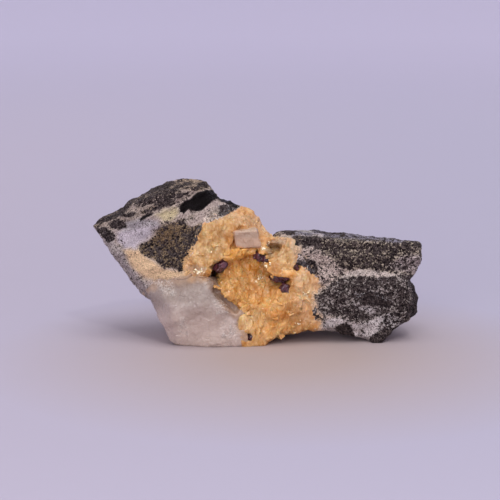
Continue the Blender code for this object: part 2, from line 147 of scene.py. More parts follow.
# %% [markdown]
# ## Kinds of relief
# **Swells** are soft lumps. **Blocks** are the corners of small cubes that lie every way, as on the
# wall rock. **Breaks** are small flat faces that tilt every way, as cleavage leaves them on dolomite.
# **Beds** are the layers of the wall rock, which end in little ledges, and **streaks** run along them.
# A Displace modifier could do the first, but not the flat faces, so each is a function of place, worked
# out for all points at once with numpy from random numbers of the cell that a point is in. A call
# gives the size in millimetres and a seed, and the number before it is the height in millimetres.

# %% Reliefs
# The cells lie aslant, so that none of their sides lines up with the specimen.
SLANT = np.array(Euler((0.35, 0.25, 0.6)).to_matrix())
WAYS = np.array([Euler((1.3 * i, 2.1 * i, 0.7 * i)).to_matrix() for i in range(24)])
STREAK_LENGTH = 6.0
STREAK_DEPTH = 4.0


def ease(low, high, values):
    """0 below low, 1 above high, and smoothly between."""
    share = np.clip((values - low) / (high - low), 0, 1)
    return share * share * (3 - 2 * share)


def chance(cells, seed):
    """A number from 0 to 1 for each whole-numbered cell, the same one every time."""
    whole = cells.astype(np.int64)
    mixed = whole[..., 0] * 73856093 ^ whole[..., 1] * 19349663 ^ whole[..., 2] * 83492791
    mixed = (mixed ^ seed * 2654435761) & 0xFFFFFFFF
    mixed = (mixed ^ (mixed >> 15)) * 2246822519 & 0xFFFFFFFF
    mixed = (mixed ^ (mixed >> 13)) * 3266489917 & 0xFFFFFFFF
    return ((mixed ^ (mixed >> 16)) & 0xFFFFFFFF) / 0xFFFFFFFF


def swells(points, size, seed):
    """Smooth heights from -1 to 1 that change over about size millimetres."""
    where = points @ SLANT / size
    base = np.floor(where)
    share = where - base
    share = share * share * (3 - 2 * share)
    total = np.zeros(len(points))
    for corner in np.ndindex(2, 2, 2):
        weight = np.prod(np.where(corner, share, 1 - share), axis=1)
        total += weight * chance(base + corner, seed)
    return 2 * total - 1


def blocks(points, size, seed):
    """Heights of small cubes that lie every way, about size millimetres across, around 0."""
    where = points / size
    base = np.floor(where)
    best = np.full(len(points), -1.0)
    for offset in np.ndindex(3, 3, 3):
        cell = base + offset - 1
        centre = cell + [0.5, 0.5, 0.5]
        centre += 0.8 * (np.stack([chance(cell, seed + k) for k in (1, 2, 3)], axis=1) - 0.5)
        turn = WAYS[(chance(cell, seed + 4) * 23.99).astype(int)]
        depth = 0.75 - np.abs(np.einsum("nij,nj->ni", turn, where - centre)).max(axis=1)
        best = np.maximum(best, depth)
    return best - 0.45


def breaks(points, size, seed, stretch=(1.0, 1.0, 1.0), steps=0.0):
    """Flat faces at different heights and tilts, with steps between them, around 0.

    A face may carry fine parallel steps, this deep, as cleavage leaves them."""
    where = points @ SLANT / (size * np.array(stretch))
    base = np.floor(where)
    nearest = np.full(len(points), 9.0)
    height = np.zeros(len(points))
    for offset in np.ndindex(3, 3, 3):
        cell = base + offset - 1
        luck = np.stack([chance(cell, seed + k) for k in range(7)], axis=1)
        away = where - cell - 0.5 - 0.9 * (luck[:, :3] - 0.5)
        far = (away ** 2).sum(axis=1)
        plane = ((luck[:, 3:6] - 0.5) * away).sum(axis=1) * 1.6 + 0.7 * (luck[:, 6] - 0.5)
        if steps:
            along = ((luck[:, 2:5] - 0.5) * away).sum(axis=1) * 9
            plane += steps * (along - np.floor(along) - 0.5)
        closer = far < nearest
        nearest = np.where(closer, far, nearest)
        height = np.where(closer, plane, height)
    return height


def beds(points, across, spacing, seed):
    """Ledges of layers that lie square to the direction across."""
    level = points @ across / spacing + 0.5 * swells(points, 9.0, seed)
    floor = np.floor(level)
    layer = np.stack([floor, floor, floor], axis=1)
    return 0.7 * (chance(layer, seed) - 0.5) - 0.4 * (level - floor)


def streaks(points, along, across, thin, seed):
    """Smooth heights from -1 to 1, drawn out along the beds and thin millimetres across them."""
    drawn = [points @ along / STREAK_LENGTH, points @ across / thin, points[:, 1] / STREAK_DEPTH]
    return swells(np.stack(drawn, axis=1), 1.0, seed)


def wobble(points, size, seed):
    """Two swells, which bend an outline on the plan of the front both ways."""
    return np.stack([swells(points, size, seed), swells(points, size, seed + 1)], axis=1)


sample = np.linspace(0.0, 40.0, 2000)[:, None] * [1.0, 0.4, 0.2]
for kind in (swells, blocks, breaks):
    tried = kind(sample, 2.0, 1)
    print(kind.__name__, "go from", tried.min().round(2), "to", tried.max().round(2))

# %% [markdown]
# ## Drawing on the front
# The dark and pale parts of the wall rock are colour, not shape. Each is a region with an outline,
# given in millimetres on a plan of the front: across, and up as it looks from a little above. The
# signed distance to the outline, worked out at every point, makes an edge that a shader can roughen
# grain by grain. A painted image could show them too, but would need a pixel for each grain.

# %% Outlines and distances
TILT = math.radians(10.0)


def front_plan(points):
    """Where each point lies on the plan: across and up, in millimetres."""
    up = points[:, 2] * math.cos(TILT) + points[:, 1] * math.sin(TILT)
    return np.stack([points[:, 0], up], axis=1)


def facing(piece):
    """1 where the surface looks to the front, 0 where it looks away."""
    ahead = np.array([0.0, math.cos(TILT), -math.sin(TILT)])
    return 1 - ease(-0.12, 0.08, normals_of(piece) @ ahead)


def inside(plan, outline):
    """How far each point lies inside the outline, in millimetres, below zero outside it."""
    corners = np.array(outline, float)
    nearest = np.full(len(plan), 1e9)
    within = np.zeros(len(plan), bool)
    for start, end in zip(corners, np.roll(corners, -1, axis=0)):
        step = end - start
        along = np.clip((plan - start) @ step / (step @ step), 0, 1)
        nearest = np.minimum(nearest, np.hypot(*(plan - start - along[:, None] * step).T))
        spans = (plan[:, 1] < start[1]) != (plan[:, 1] < end[1])
        rise = step[1] if step[1] else 1.0
        within ^= spans & (plan[:, 0] < start[0] + (plan[:, 1] - start[1]) * step[0] / rise)
    return np.where(within, nearest, -nearest)


def cover_of(plan, outline, edge):
    """1 inside the outline and 0 outside it, with an edge this many millimetres wide."""
    return ease(-edge / 2, edge / 2, inside(plan, outline))


def part_of(points, *outlines):
    """1 inside any of the outlines, 0 outside them."""
    plan = front_plan(points) + 0.35 * wobble(points, 1.5, 11)
    return np.max([cover_of(plan, outline, 0.8) for outline in outlines], axis=0)


SQUARE = [(-5.0, -5.0), (5.0, -5.0), (5.0, 5.0), (-5.0, 5.0)]
print("the middle of a 10 mm square lies", inside(np.zeros((1, 2)), SQUARE)[0], "mm inside it")

# %% [markdown]
# ## Contacts
# Minerals that grew together have no gap between them, but the solids stand a hair apart, so that
# each can be taken alone. A fine copy's points beside a neighbour are moved across the gap and a
# little into it. How deep they go swells and fades, which makes the contact as ragged as a grown one.

# %% Contacts
# A point this near to a neighbour goes right into it, and one this far away stays.
FULL_REACH = 0.45
NO_REACH = 1.5
DEEPEST = 0.9
trees = {}


def nearest_on(points, node):
    """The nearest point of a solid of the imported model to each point, in millimetres."""
    if node not in trees:
        shape = bmesh.new()
        shape.from_mesh(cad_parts[node].data)
        trees[node] = BVHTree.FromBMesh(shape)
        shape.free()
    return np.array([trees[node].find_nearest(point)[0] for point in points * MM]) / MM


def distance_to(points, node):
    """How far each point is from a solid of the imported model, in millimetres."""
    return np.linalg.norm(nearest_on(points, node) - points, axis=1)


def grow_into(piece, neighbours, seed):
    """Moves the points by a contact across it, so that minerals grown together leave no gap."""
    points = points_of(piece)
    moved = points.copy()
    overlap = 0.45 + 0.35 * swells(points, 1.6, seed)
    for node in neighbours:
        low, high = (np.array(corner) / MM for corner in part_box(node))
        close = (points > low - NO_REACH) & (points < high + NO_REACH)
        near = np.flatnonzero(np.all(close, axis=1))
        across = nearest_on(points[near], node) - points[near]
        far = np.linalg.norm(across, axis=1)
        share = 1 - ease(FULL_REACH, NO_REACH, far)
        step = share * (far + np.minimum(overlap[near], DEEPEST))
        moved[near] += across / np.maximum(far, 0.01)[:, None] * step[:, None]
    set_points(piece, moved)


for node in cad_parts:
    low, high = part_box(node)
    print(node, "is", [round((high[i] - low[i]) / MM, 1) for i in range(3)], "mm")

# %% [markdown]
# ## Notes for the shaders
# A shader can read numbers that are kept on a mesh's points as attributes. Vertex groups could hold
# them too, but no colours. These say how much of the rock is dark, how pale its other grains are,
# and which faces glint.

# %% Notes on points
def note(piece, name, values):
    """Keeps one number for each point, or one colour, that the shader reads by name."""
    values = np.asarray(values, np.float32)
    if values.ndim == 1:
        kept = piece.data.attributes.new(name, "FLOAT", "POINT")
        kept.data.foreach_set("value", values)
    else:
        kept = piece.data.attributes.new(name, "FLOAT_COLOR", "POINT")
        colors = np.ones((len(values), 4), np.float32)
        colors[:, :3] = values
        kept.data.foreach_set("color", colors.ravel())


# %% [markdown]
# ## Shader helpers
# A material here is a graph of nodes. It could be drawn in the Shader Editor, but a script keeps it
# in words. One helper adds a node, sets its options and fills or links its sockets, and the others
# are named after what they do to a number, a colour or a place.

# %% Shader helpers
def material(name):
    """A new material, its nodes, and its Principled BSDF."""
    made = bpy.data.materials.new(name)
    made.use_nodes = True
    return made, made.node_tree, made.node_tree.nodes["Principled BSDF"]


def add(tree, kind, options=None, **sockets):
    """Adds a node. A socket's value is a number, a colour or another node's output."""
    node = tree.nodes.new("ShaderNode" + kind)
    for key, value in (options or {}).items():
        setattr(node, key, value)
    wire(tree, node, **sockets)
    return node


def wire(tree, node, **sockets):
    """Sets or links sockets by their name, with _ for a space, or by number, as n0 or n1."""
    for key, value in sockets.items():
        counted = key[0] == "n" and key[1:].isdigit()
        socket = node.inputs[int(key[1:]) if counted else key.replace("_", " ")]
        if isinstance(value, bpy.types.NodeSocket):
            tree.links.new(value, socket)
        else:
            socket.default_value = value


def place(tree):
    """Where on the piece a point is, which is what every pattern follows."""
    return tree.nodes.new("ShaderNodeTexCoord").outputs["Object"]


def kept(tree, name, kind="Fac"):
    """A number or a colour that was noted on the points."""
    return add(tree, "Attribute", {"attribute_name": name}).outputs[kind]


def calc(tree, operation, first, second):
    """One sum, such as ADD or MULTIPLY."""
    return add(tree, "Math", {"operation": operation}, n0=first, n1=second).outputs[0]


def plus(tree, first, second, share):
    """first + second * share"""
    return calc(tree, "ADD", first, calc(tree, "MULTIPLY", second, share))


def spread(tree, value, low, high, to_low=0.0, to_high=1.0):
    """Maps low..high to to_low..to_high, held at the ends."""
    return add(tree, "MapRange", None, Value=value, From_Min=low, From_Max=high,
               To_Min=to_low, To_Max=to_high).outputs[0]


def blend_colors(tree, share, first, second, mode="MIX"):
    """The first colour where share is 0 and the second where it is 1, or their product."""
    node = add(tree, "Mix", {"data_type": "RGBA", "blend_type": mode, "clamp_factor": True})
    first, second = ((*color, 1.0) if isinstance(color, tuple) else color for color in (first, second))
    wire(tree, node, n0=share, n6=first, n7=second)
    return node.outputs[2]


def noise(tree, where, size, detail=3.0, roughness=0.6):
    """A cloudy pattern whose patches are about size millimetres across."""
    return add(tree, "TexNoise", None, Vector=where, Scale=1 / (size * MM), Detail=detail,
               Roughness=roughness).outputs["Fac"]


def grains(tree, where, size):
    """Random cells about size millimetres across: their colour is a set of random numbers."""
    return add(tree, "TexVoronoi", None, Vector=where, Scale=1 / (size * MM))


def numbers(tree, cells):
    """Three random numbers from 0 to 1 of each cell."""
    return add(tree, "SeparateColor", None, Color=cells.outputs["Color"]).outputs


def facets(tree, where, size):
    """Small flat faces that tilt every way: a height that rises evenly across each random cell."""
    cells = grains(tree, where, size)
    across = add(tree, "VectorMath", {"operation": "SUBTRACT"}, n0=where, n1=cells.outputs["Position"])
    slope = add(tree, "VectorMath", {"operation": "SUBTRACT"}, n0=cells.outputs["Color"], n1=(0.5,) * 3)
    rise = add(tree, "VectorMath", {"operation": "DOT_PRODUCT"}, n0=across.outputs[0], n1=slope.outputs[0])
    return calc(tree, "MULTIPLY", rise.outputs["Value"], 2 / (size * MM)), cells


def bumped(tree, shader, height, deep):
    """Gives a shader relief that is too small for the mesh, deep millimetres high."""
    bump = add(tree, "Bump", None, Height=height, Distance=deep * MM, Strength=1.0)
    wire(tree, shader, Normal=bump.outputs[0])


def finished(made):
    """Says how many nodes a material took, and hands it on."""
    print(made.name, "has", len(made.node_tree.nodes), "nodes")
    return made


# %% [markdown]
# ## The wall rock's finish
# The wall rock is a mass of grains half a millimetre across, some dark and some pale. Each random
# cell of a Voronoi pattern is one grain, and it is dark when its own random number is below the
# share of dark grains noted at that place. So one number per point gives black inclusions, where
# all grains are dark, pale calcite, where none is, and everything between. An image of each part of
# the rock would do it too, but would have to be drawn for the sides that are rarely seen as well.

# %% Wall rock
GRAIN = 0.43
FINE_GRAIN = 0.1935
SOFT_BLACK = (0.006, 0.003, 0.004)
DARK_BROWN = (0.17, 0.130, 0.120)
DEEP_BLACK = (0.007, 0.005, 0.005)
DIM_GRAIN = (0.40, 0.38, 0.38)
BRIGHT_GRAIN = (1.42, 1.43, 1.52)
EVEN_GRAIN = (0.97, 0.97, 0.97)


def rock_look(tree, where):
    """The wall rock's colour, roughness and height, from the notes dark, pale and loose."""
    sway = add(tree, "TexNoise", None, Vector=where, Scale=1 / (0.5 * MM), Detail=2.0).outputs["Color"]
    bent = add(tree, "VectorMath", {"operation": "MULTIPLY_ADD"},
               n0=sway, n1=(0.3 * MM,) * 3, n2=where).outputs[0]
    coarse = grains(tree, bent, GRAIN)
    fine = grains(tree, bent, FINE_GRAIN)
    parts = numbers(tree, coarse)
    small = numbers(tree, fine)
    luck = plus(tree, calc(tree, "MULTIPLY", parts[0], 0.6), small[0], 0.4)
    drift = spread(tree, noise(tree, where, 2.2), 0.3, 0.7, -0.24, 0.24)
    share = plus(tree, kept(tree, "dark"), drift, kept(tree, "loose"))
    is_dark = spread(tree, calc(tree, "SUBTRACT", share, luck), -0.05, 0.05)
    dark = blend_colors(tree, calc(tree, "MULTIPLY", parts[1], small[1]), SOFT_BLACK, DARK_BROWN)
    black = spread(tree, kept(tree, "dark"), 1.0, 1.3)
    dark = blend_colors(tree, black, dark, DEEP_BLACK)
    pale = blend_colors(tree, small[2], DIM_GRAIN, BRIGHT_GRAIN)
    pale = blend_colors(tree, spread(tree, kept(tree, "dark"), 0.02, 0.25, 0.45, 0.0), pale, EVEN_GRAIN)
    pale = blend_colors(tree, 1.0, kept(tree, "pale", "Color"), pale, "MULTIPLY")
    gloss = spread(tree, small[1], 0.86, 0.92, 0.72, 0.28)
    shiny = calc(tree, "MULTIPLY", black, calc(tree, "MULTIPLY", parts[2], 0.4))
    gloss = calc(tree, "SUBTRACT", gloss, shiny)
    height = calc(tree, "ADD", fine.outputs["Distance"], noise(tree, where, 0.4, 5.0))
    return blend_colors(tree, is_dark, pale, dark), gloss, height


def wall_rock(name):
    made, tree, shader = material(name)
    color, gloss, height = rock_look(tree, place(tree))
    wire(tree, shader, Base_Color=color, Roughness=gloss, Specular_IOR_Level=0.09)
    bumped(tree, shader, height, 0.2)
    return finished(made)


left_rock = wall_rock("bedded_rock_finish")
right_rock = wall_rock("speckled_rock_finish")

# %% [markdown]
# ## The dolomite's finish
# Dolomite lets light a little way in, so its colour glows: the Principled shader does that with
# subsurface scattering, which takes red light furthest. Its colour changes over a few millimetres
# from cream to amber and gold, so the points carry it, and each small face differs a little. Where
# a skin of wall rock still covers it, the rock's colour takes over and no light goes in.

# %% Dolomite
FLASH_GLOSS = 0.22


def dolomite(name, large, fine, rough):
    """Large and fine are its faces' sizes in millimetres, rough the fine ones' share of the relief."""
    made, tree, shader = material(name)
    where = place(tree)
    drawn = add(tree, "VectorMath", {"operation": "MULTIPLY"}, n0=where, n1=(1.0, 1.0, 0.65)).outputs[0]
    broad, cells = facets(tree, drawn, large)
    small, bits = facets(tree, drawn, fine)
    tiny = numbers(tree, bits)
    tone = kept(tree, "tone", "Color")
    cloud = spread(tree, noise(tree, drawn, 1.6, 4.0), 0.3, 0.7, -0.45, 0.45)
    luck = plus(tree, cloud, numbers(tree, cells)[0], 0.4)
    luck = plus(tree, luck, tiny[1], 0.35)
    rich = blend_colors(tree, 1.0, tone, (0.80, 0.61, 0.33), "MULTIPLY")
    light = blend_colors(tree, 0.22, tone, (1.0, 0.76, 0.38))
    color = blend_colors(tree, spread(tree, luck, -0.15, 0.95), rich, light)
    edge = plus(tree, kept(tree, "rock"), calc(tree, "SUBTRACT", tiny[2], 0.5), 0.5)
    skin = spread(tree, edge, 0.45, 0.55)
    color = blend_colors(tree, skin, color, rock_look(tree, where)[0])
    flash = kept(tree, "flash")
    calm = calc(tree, "SUBTRACT", 1.0, flash)
    gloss = calc(tree, "MULTIPLY", spread(tree, tiny[0], 0.0, 1.0, 0.1, 0.55), calm)
    wire(tree, shader, Base_Color=color, Roughness=plus(tree, gloss, flash, FLASH_GLOSS),
         Subsurface_Weight=spread(tree, skin, 0.0, 1.0, 0.5, 0.0),
         Subsurface_Radius=(1.0, 0.55, 0.25), Subsurface_Scale=0.5 * MM)
    height = plus(tree, broad, small, rough)
    bumped(tree, shader, calc(tree, "MULTIPLY", height, calm), 0.16)
    return finished(made)


peach = dolomite("peach_dolomite_finish", 0.9, 0.4, 0.8)
golden = dolomite("golden_dolomite_finish", 1.8, 0.6, 0.3)

# %% [markdown]
# ## The quartz's and the calcite's finish
# Milky quartz is clouded by tiny flaws, so light goes deep and comes back soft. A glass shader with
# fog inside would show that too, but takes far longer to render than subsurface scattering. The
# blocky calcite is the same with a warmer tint. Where the quartz is sugary, tiny broken faces are
# white.

# %% Quartz and calcite
SUGAR_WHITE = (0.76, 0.66, 0.58)


def milky(name, clear, cloudy, deep, glow):
    """Deep is how far light goes in, in millimetres, and glow how much of it does."""
    made, tree, shader = material(name)
    where = place(tree)
    cloud = noise(tree, where, 5.0, 5.0, 0.65)
    color = blend_colors(tree, spread(tree, cloud, 0.35, 0.65), clear, cloudy)
    color = blend_colors(tree, 1.0, color, kept(tree, "tint", "Color"), "MULTIPLY")
    specks = spread(tree, noise(tree, where, 0.4, 3.0), 0.45, 0.62, 0.0, 0.5)
    color = blend_colors(tree, calc(tree, "MULTIPLY", kept(tree, "sugar"), specks), color, SUGAR_WHITE)
    broad = facets(tree, where, 1.6)[0]
    small, bits = facets(tree, where, 0.6)
    wire(tree, shader, Base_Color=color, Roughness=spread(tree, numbers(tree, bits)[0], 0.0, 1.0, 0.2, 0.5),
         Subsurface_Weight=glow, Subsurface_Radius=(1.0, 0.9, 0.85), Subsurface_Scale=deep * MM)
    height = plus(tree, broad, small, 0.5)
    calm = calc(tree, "SUBTRACT", 1.0, kept(tree, "flash"))
    bumped(tree, shader, calc(tree, "MULTIPLY", height, calm), 0.12)
    return finished(made)


quartz_finish = milky("milky_quartz_finish", (0.445, 0.347, 0.300), (0.470, 0.370, 0.315), 1.2, 0.4)
calcite_finish = milky("lilac_calcite_finish", (0.52, 0.34, 0.23), (0.57, 0.42, 0.31), 1.5, 0.5)

# %% [markdown]
# ## The cinnabar's finish
# Cinnabar is the opposite: nearly black, with a red depth and a strong, almost metallic gloss on
# its faces. Plain reflection does it, with a raised specular level and a roughness that changes over
# a millimetre, so that one face shines in patches.

# %% Cinnabar
def cinnabar_finish():
    made, tree, shader = material("cinnabar_finish")
    where = place(tree)
    patch = noise(tree, where, 0.8, 4.0)
    color = blend_colors(tree, spread(tree, patch, 0.35, 0.65), (0.022, 0.006, 0.010), (0.14, 0.030, 0.045))
    wire(tree, shader, Base_Color=color, Roughness=spread(tree, patch, 0.3, 0.7, 0.16, 0.45),
         Specular_IOR_Level=0.9)
    bumped(tree, shader, noise(tree, where, 0.3, 4.0), 0.05)
    return finished(made)


cinnabar = cinnabar_finish()

# %% [markdown]
# ## What the left wall rock shows
# Pale bedded rock, with a black piece of other rock near the vein, a brown grainy one below it, and
# a dark skin along the top. Texture Paint would be the usual way to place them, but it keeps an image.
# Each is an outline on the plan here, in millimetres, so that one of them can be changed by itself.

# %% Regions of the left wall rock
LEFT_ACROSS = np.array([-0.39, 0.0, 0.92])
LEFT_ALONG = np.array([0.92, 0.0, 0.39])
TAN = (0.74, 0.51, 0.30)
GREY_PINK = (0.50, 0.40, 0.34)
LILAC = (0.50, 0.43, 0.45)

TOP_SKIN = [
    (-43.5, 28.5), (-38.4, 32.0), (-35.5, 34.0), (-31.8, 35.6), (-28.2, 37.5), (-26.2, 39.5),
    (-22.9, 41.0), (-19.5, 39.0), (-18.6, 36.6), (-18.9, 35.4), (-21.4, 34.6), (-24.5, 34.7), (-27.1, 34.7),
    (-29.4, 34.0), (-31.8, 33.0), (-34.8, 30.9), (-37.8, 29.3), (-40.2, 27.4),
]
UPPER_STREAK = [
    (-29.4, 31.2), (-27.1, 32.3), (-24.2, 33.1), (-21.7, 33.8), (-21.5, 33.3), (-23.6, 32.4),
    (-25.9, 31.4), (-28.2, 30.4),
]
LOWER_STREAK = [
    (-35.4, 30.9), (-33.6, 31.1), (-31.7, 30.6), (-30.2, 30.8), (-30.5, 29.9), (-31.9, 29.6),
    (-33.9, 30.0),
]
DASH = [(-29.1, 29.0), (-28.1, 30.0), (-25.9, 30.9), (-25.4, 30.5), (-27.4, 29.3), (-28.6, 28.8)]
BLOB = [
    (-36.9, 28.2), (-36.2, 29.1), (-34.5, 29.3), (-32.9, 28.5), (-32.4, 27.4), (-34.2, 26.7),
    (-35.7, 27.0), (-36.6, 27.4),
]
WEDGE = [(-41.0, 27.5), (-38.1, 27.1), (-35.2, 25.5), (-36.1, 23.7), (-37.3, 23.4), (-39.0, 24.8)]
HUMP = [
    (-20.8, 38.4), (-19.0, 42.0), (-13.0, 42.0), (-10.2, 39.5), (-11.5, 37.5), (-13.1, 36.7),
    (-15.0, 36.0), (-17.5, 36.5), (-19.0, 37.3),
]
BLACK_PIECE = [
    (-19.3, 31.9), (-17.8, 33.6), (-16.1, 34.0), (-14.5, 35.7), (-12.0, 36.7), (-10.4, 37.0),
    (-9.1, 35.0), (-10.1, 34.3), (-11.1, 33.0), (-12.5, 31.6), (-14.7, 31.1), (-16.7, 31.5),
    (-18.1, 30.5), (-19.0, 30.9),
]
BROWN_PIECE = [
    (-29.4, 22.5), (-27.0, 24.2), (-25.3, 25.3), (-24.2, 26.4), (-21.9, 28.3), (-19.4, 29.3),
    (-18.0, 28.9), (-17.5, 27.8), (-15.8, 27.2), (-13.2, 28.4), (-13.0, 26.9), (-13.6, 24.7),
    (-15.0, 22.7), (-16.0, 21.1), (-17.3, 20.0), (-17.5, 18.3), (-17.5, 16.5), (-18.8, 16.4),
    (-20.2, 17.5), (-22.5, 17.3), (-24.7, 18.9), (-26.1, 19.7), (-28.7, 21.1),
]
BROWN_HEART = [
    (-25.3, 26.2), (-23.2, 27.9), (-20.3, 27.9), (-18.7, 26.2), (-20.3, 23.7), (-23.2, 22.4), (-25.3, 23.7),
]
BEDDED = [
    (-41.0, 27.0), (-36.0, 31.0), (-29.0, 34.0), (-22.0, 36.5), (-18.0, 38.0), (-12.0, 38.0),
    (-13.5, 36.0), (-18.0, 34.4), (-20.0, 32.6), (-24.7, 30.6), (-29.5, 28.6), (-34.0, 27.4), (-38.0, 26.6),
]
GREY_PIECE = [
    (-9.7, 32.6), (-7.5, 33.2), (-5.3, 32.8), (-5.6, 31.6), (-6.7, 30.0), (-8.7, 29.9), (-9.6, 31.3),
]
BLACK_LEDGE = [
    (-9.7, 35.6), (-8.4, 35.3), (-6.4, 34.6), (-3.6, 33.0), (-4.7, 32.2), (-6.5, 33.0), (-8.5, 33.9),
]
LILAC_PATCH = [
    (-35.0, 25.9), (-31.6, 27.3), (-28.1, 28.3), (-24.8, 28.0), (-23.3, 27.5), (-25.9, 25.6),
    (-28.7, 23.6), (-30.4, 21.9), (-33.0, 21.1), (-34.8, 23.6),
]
LILAC_TOP = [(-34.5, 27.8), (-29.0, 29.4), (-24.8, 29.0), (-24.0, 27.8), (-28.0, 27.0), (-33.5, 25.8)]
YELLOW_PATCH = [(-24.7, 30.0), (-23.1, 31.4), (-20.3, 31.9), (-19.5, 30.8), (-20.8, 29.1), (-23.1, 29.1)]
TAN_PATCH = [
    (-33.5, 21.1), (-29.3, 21.8), (-25.8, 19.0), (-22.5, 17.1), (-18.0, 16.2), (-14.7, 16.4),
    (-11.9, 17.2), (-11.3, 14.5), (-16.0, 14.2), (-20.2, 14.7), (-24.7, 13.9), (-28.1, 15.0),
    (-31.6, 18.3),
]
LOWER_SIDE = [
    (-42.5, 26.5), (-38.4, 20.5), (-34.8, 16.0), (-32.3, 12.2), (-29.0, 9.8), (-24.7, 7.9),
    (-22.9, 8.4), (-24.1, 11.4), (-27.0, 12.8), (-30.1, 16.4), (-32.5, 18.6), (-34.4, 22.0),
    (-36.3, 23.9), (-39.3, 25.9),
]
# Each region: outline, share of dark grains, colour of the pale grains, width of its edge.
LEFT_REGIONS = [
    (LOWER_SIDE, 0.26, (0.44, 0.37, 0.33), 0.8),
    (BEDDED, 0.44, (0.38, 0.30, 0.24), 1.0),
    (LILAC_PATCH, 0.02, LILAC, 1.5),
    (YELLOW_PATCH, 0.03, (0.60, 0.49, 0.29), 1.5),
    (LILAC_TOP, 0.16, (0.42, 0.37, 0.36), 1.2),
    (TAN_PATCH, 0.03, TAN, 1.5),
    (TOP_SKIN, 0.78, (0.30, 0.23, 0.17), 0.6),
    (HUMP, 0.76, (0.40, 0.30, 0.21), 0.7),
    (UPPER_STREAK, 0.75, (0.30, 0.22, 0.16), 0.5),
    (LOWER_STREAK, 0.90, (0.20, 0.16, 0.14), 0.5),
    (WEDGE, 0.90, (0.30, 0.25, 0.22), 0.6),
    (BLOB, 0.92, (0.20, 0.16, 0.14), 0.5),
    (DASH, 1.3, (0.10, 0.08, 0.08), 0.3),
    (BROWN_PIECE, 0.66, (0.24, 0.168, 0.095), 0.8),
    (BROWN_HEART, 0.45, (0.19, 0.122, 0.063), 3.0),
    (GREY_PIECE, 0.80, (0.28, 0.26, 0.25), 0.5),
    (BLACK_LEDGE, 1.35, (0.10, 0.09, 0.09), 0.4),
    (BLACK_PIECE, 1.35, (0.10, 0.09, 0.09), 0.3),
]


# %% [markdown]
# ## Painting the wall rock
# Every side of the rock gets bands of darker and paler grains first, because the beds run right
# through it. The regions are then laid over them where the surface looks to the front.

# %% Painting rock
def toward(colors, color, share):
    """Takes each point's colour this share of the way to another."""
    return colors + (np.asarray(color) - colors) * share[:, None]


def paint_rock(piece, across, spacing, base_dark, base_pale, regions, seed):
    """The share of dark grains and the pale grains' colour at each point of the piece."""
    points = points_of(piece)
    plan = front_plan(points) + 0.3 * wobble(points, 1.2, seed + 1) + 0.5 * wobble(points, 3.5, seed + 8)
    band = points @ across / spacing + 1.2 * swells(points, 11.0, seed) + 0.3 * swells(points, 3.0, seed + 3)
    stripe = 0.5 + 0.5 * np.sin(2 * math.pi * band)
    dark = base_dark[0] + (base_dark[1] - base_dark[0]) * stripe
    pale = toward(np.array(base_pale[0]), base_pale[1], stripe)
    near = facing(piece)
    for outline, share, tint, edge in regions:
        cover = near * cover_of(plan, outline, edge)
        dark += (share - dark) * cover
        pale = toward(pale, tint, cover)
    return points, dark, pale


print("the left wall rock has", len(LEFT_REGIONS), "regions")

# %% [markdown]
# ## The left wall rock's shape
# Its relief is mostly thin beds, which end in ledges, with soft swells and blocks. The black pieces
# break in larger blocks. The net rounds off sharp ends, so the pointed left end is drawn out again
# and the straight lower side cut back, both by moving points.

# %% Shape of the left wall rock
TIP = np.array([-41.2, 27.9])
TIP_PULL = 0.45
# The lower left side on the plan: heights, and how far left the rock reaches at each.
SIDE_UP = [11.5, 11.6, 13.7, 17.0, 22.0, 26.2, 27.9]
SIDE_ACROSS = [-60.0, -30.0, -31.6, -33.9, -37.6, -40.2, -41.5]

host_left = fine_copy("host_rock_left", "rock_left", 0.3, 1)
grow_into(host_left, ["dolomite_vein", "quartz_mass"], 101)
points = points_of(host_left)
calm = 1 - 0.6 * part_of(points, LILAC_PATCH, TAN_PATCH)
heights = 0.35 * swells(points, 3.5, 1) + 0.45 * beds(points, LEFT_ACROSS, 1.3, 2)
heights += 0.35 * blocks(points, 2.2, 3)
heights += 0.8 * blocks(points, 1.3, 8) * part_of(points, BLACK_LEDGE, BLOB, BLACK_PIECE)
raise_by(host_left, 0.2 + calm * heights + 0.14 * swells(points, 0.9, 4) + 0.08 * swells(points, 0.45, 5))

points = points_of(host_left)
pull = TIP - front_plan(points)
pull *= TIP_PULL * (1 - ease(0.5, 3.5, np.linalg.norm(pull, axis=1)))[:, None] * (points[:, 1] < 2.0)[:, None]
points[:, 0] += pull[:, 0]
points[:, 2] += pull[:, 1]
up = front_plan(points)[:, 1]
side = np.interp(up, SIDE_UP, SIDE_ACROSS) + 0.35 * swells(points, 2.0, 13) + 0.15 * swells(points, 0.8, 14)
points[:, 0] = np.where(up < TIP[1], np.maximum(points[:, 0], side), points[:, 0])
set_points(host_left, points)
print("the left rock's end is at", points.min(axis=0).round(1)[0], "mm")

# %% [markdown]
# ## The left wall rock's colours
# The beds show as thin dark streaks, which are drawn out along them. Next to the vein the pale
# grains are stained peach. How loose a region's grains lie follows from how dark it is: solid black
# has none, and grey rock has all kinds mixed.

# %% Colours of the left wall rock
BED_PALE = (0.46, 0.38, 0.30)
PEACH_STAIN = (0.72, 0.44, 0.20)

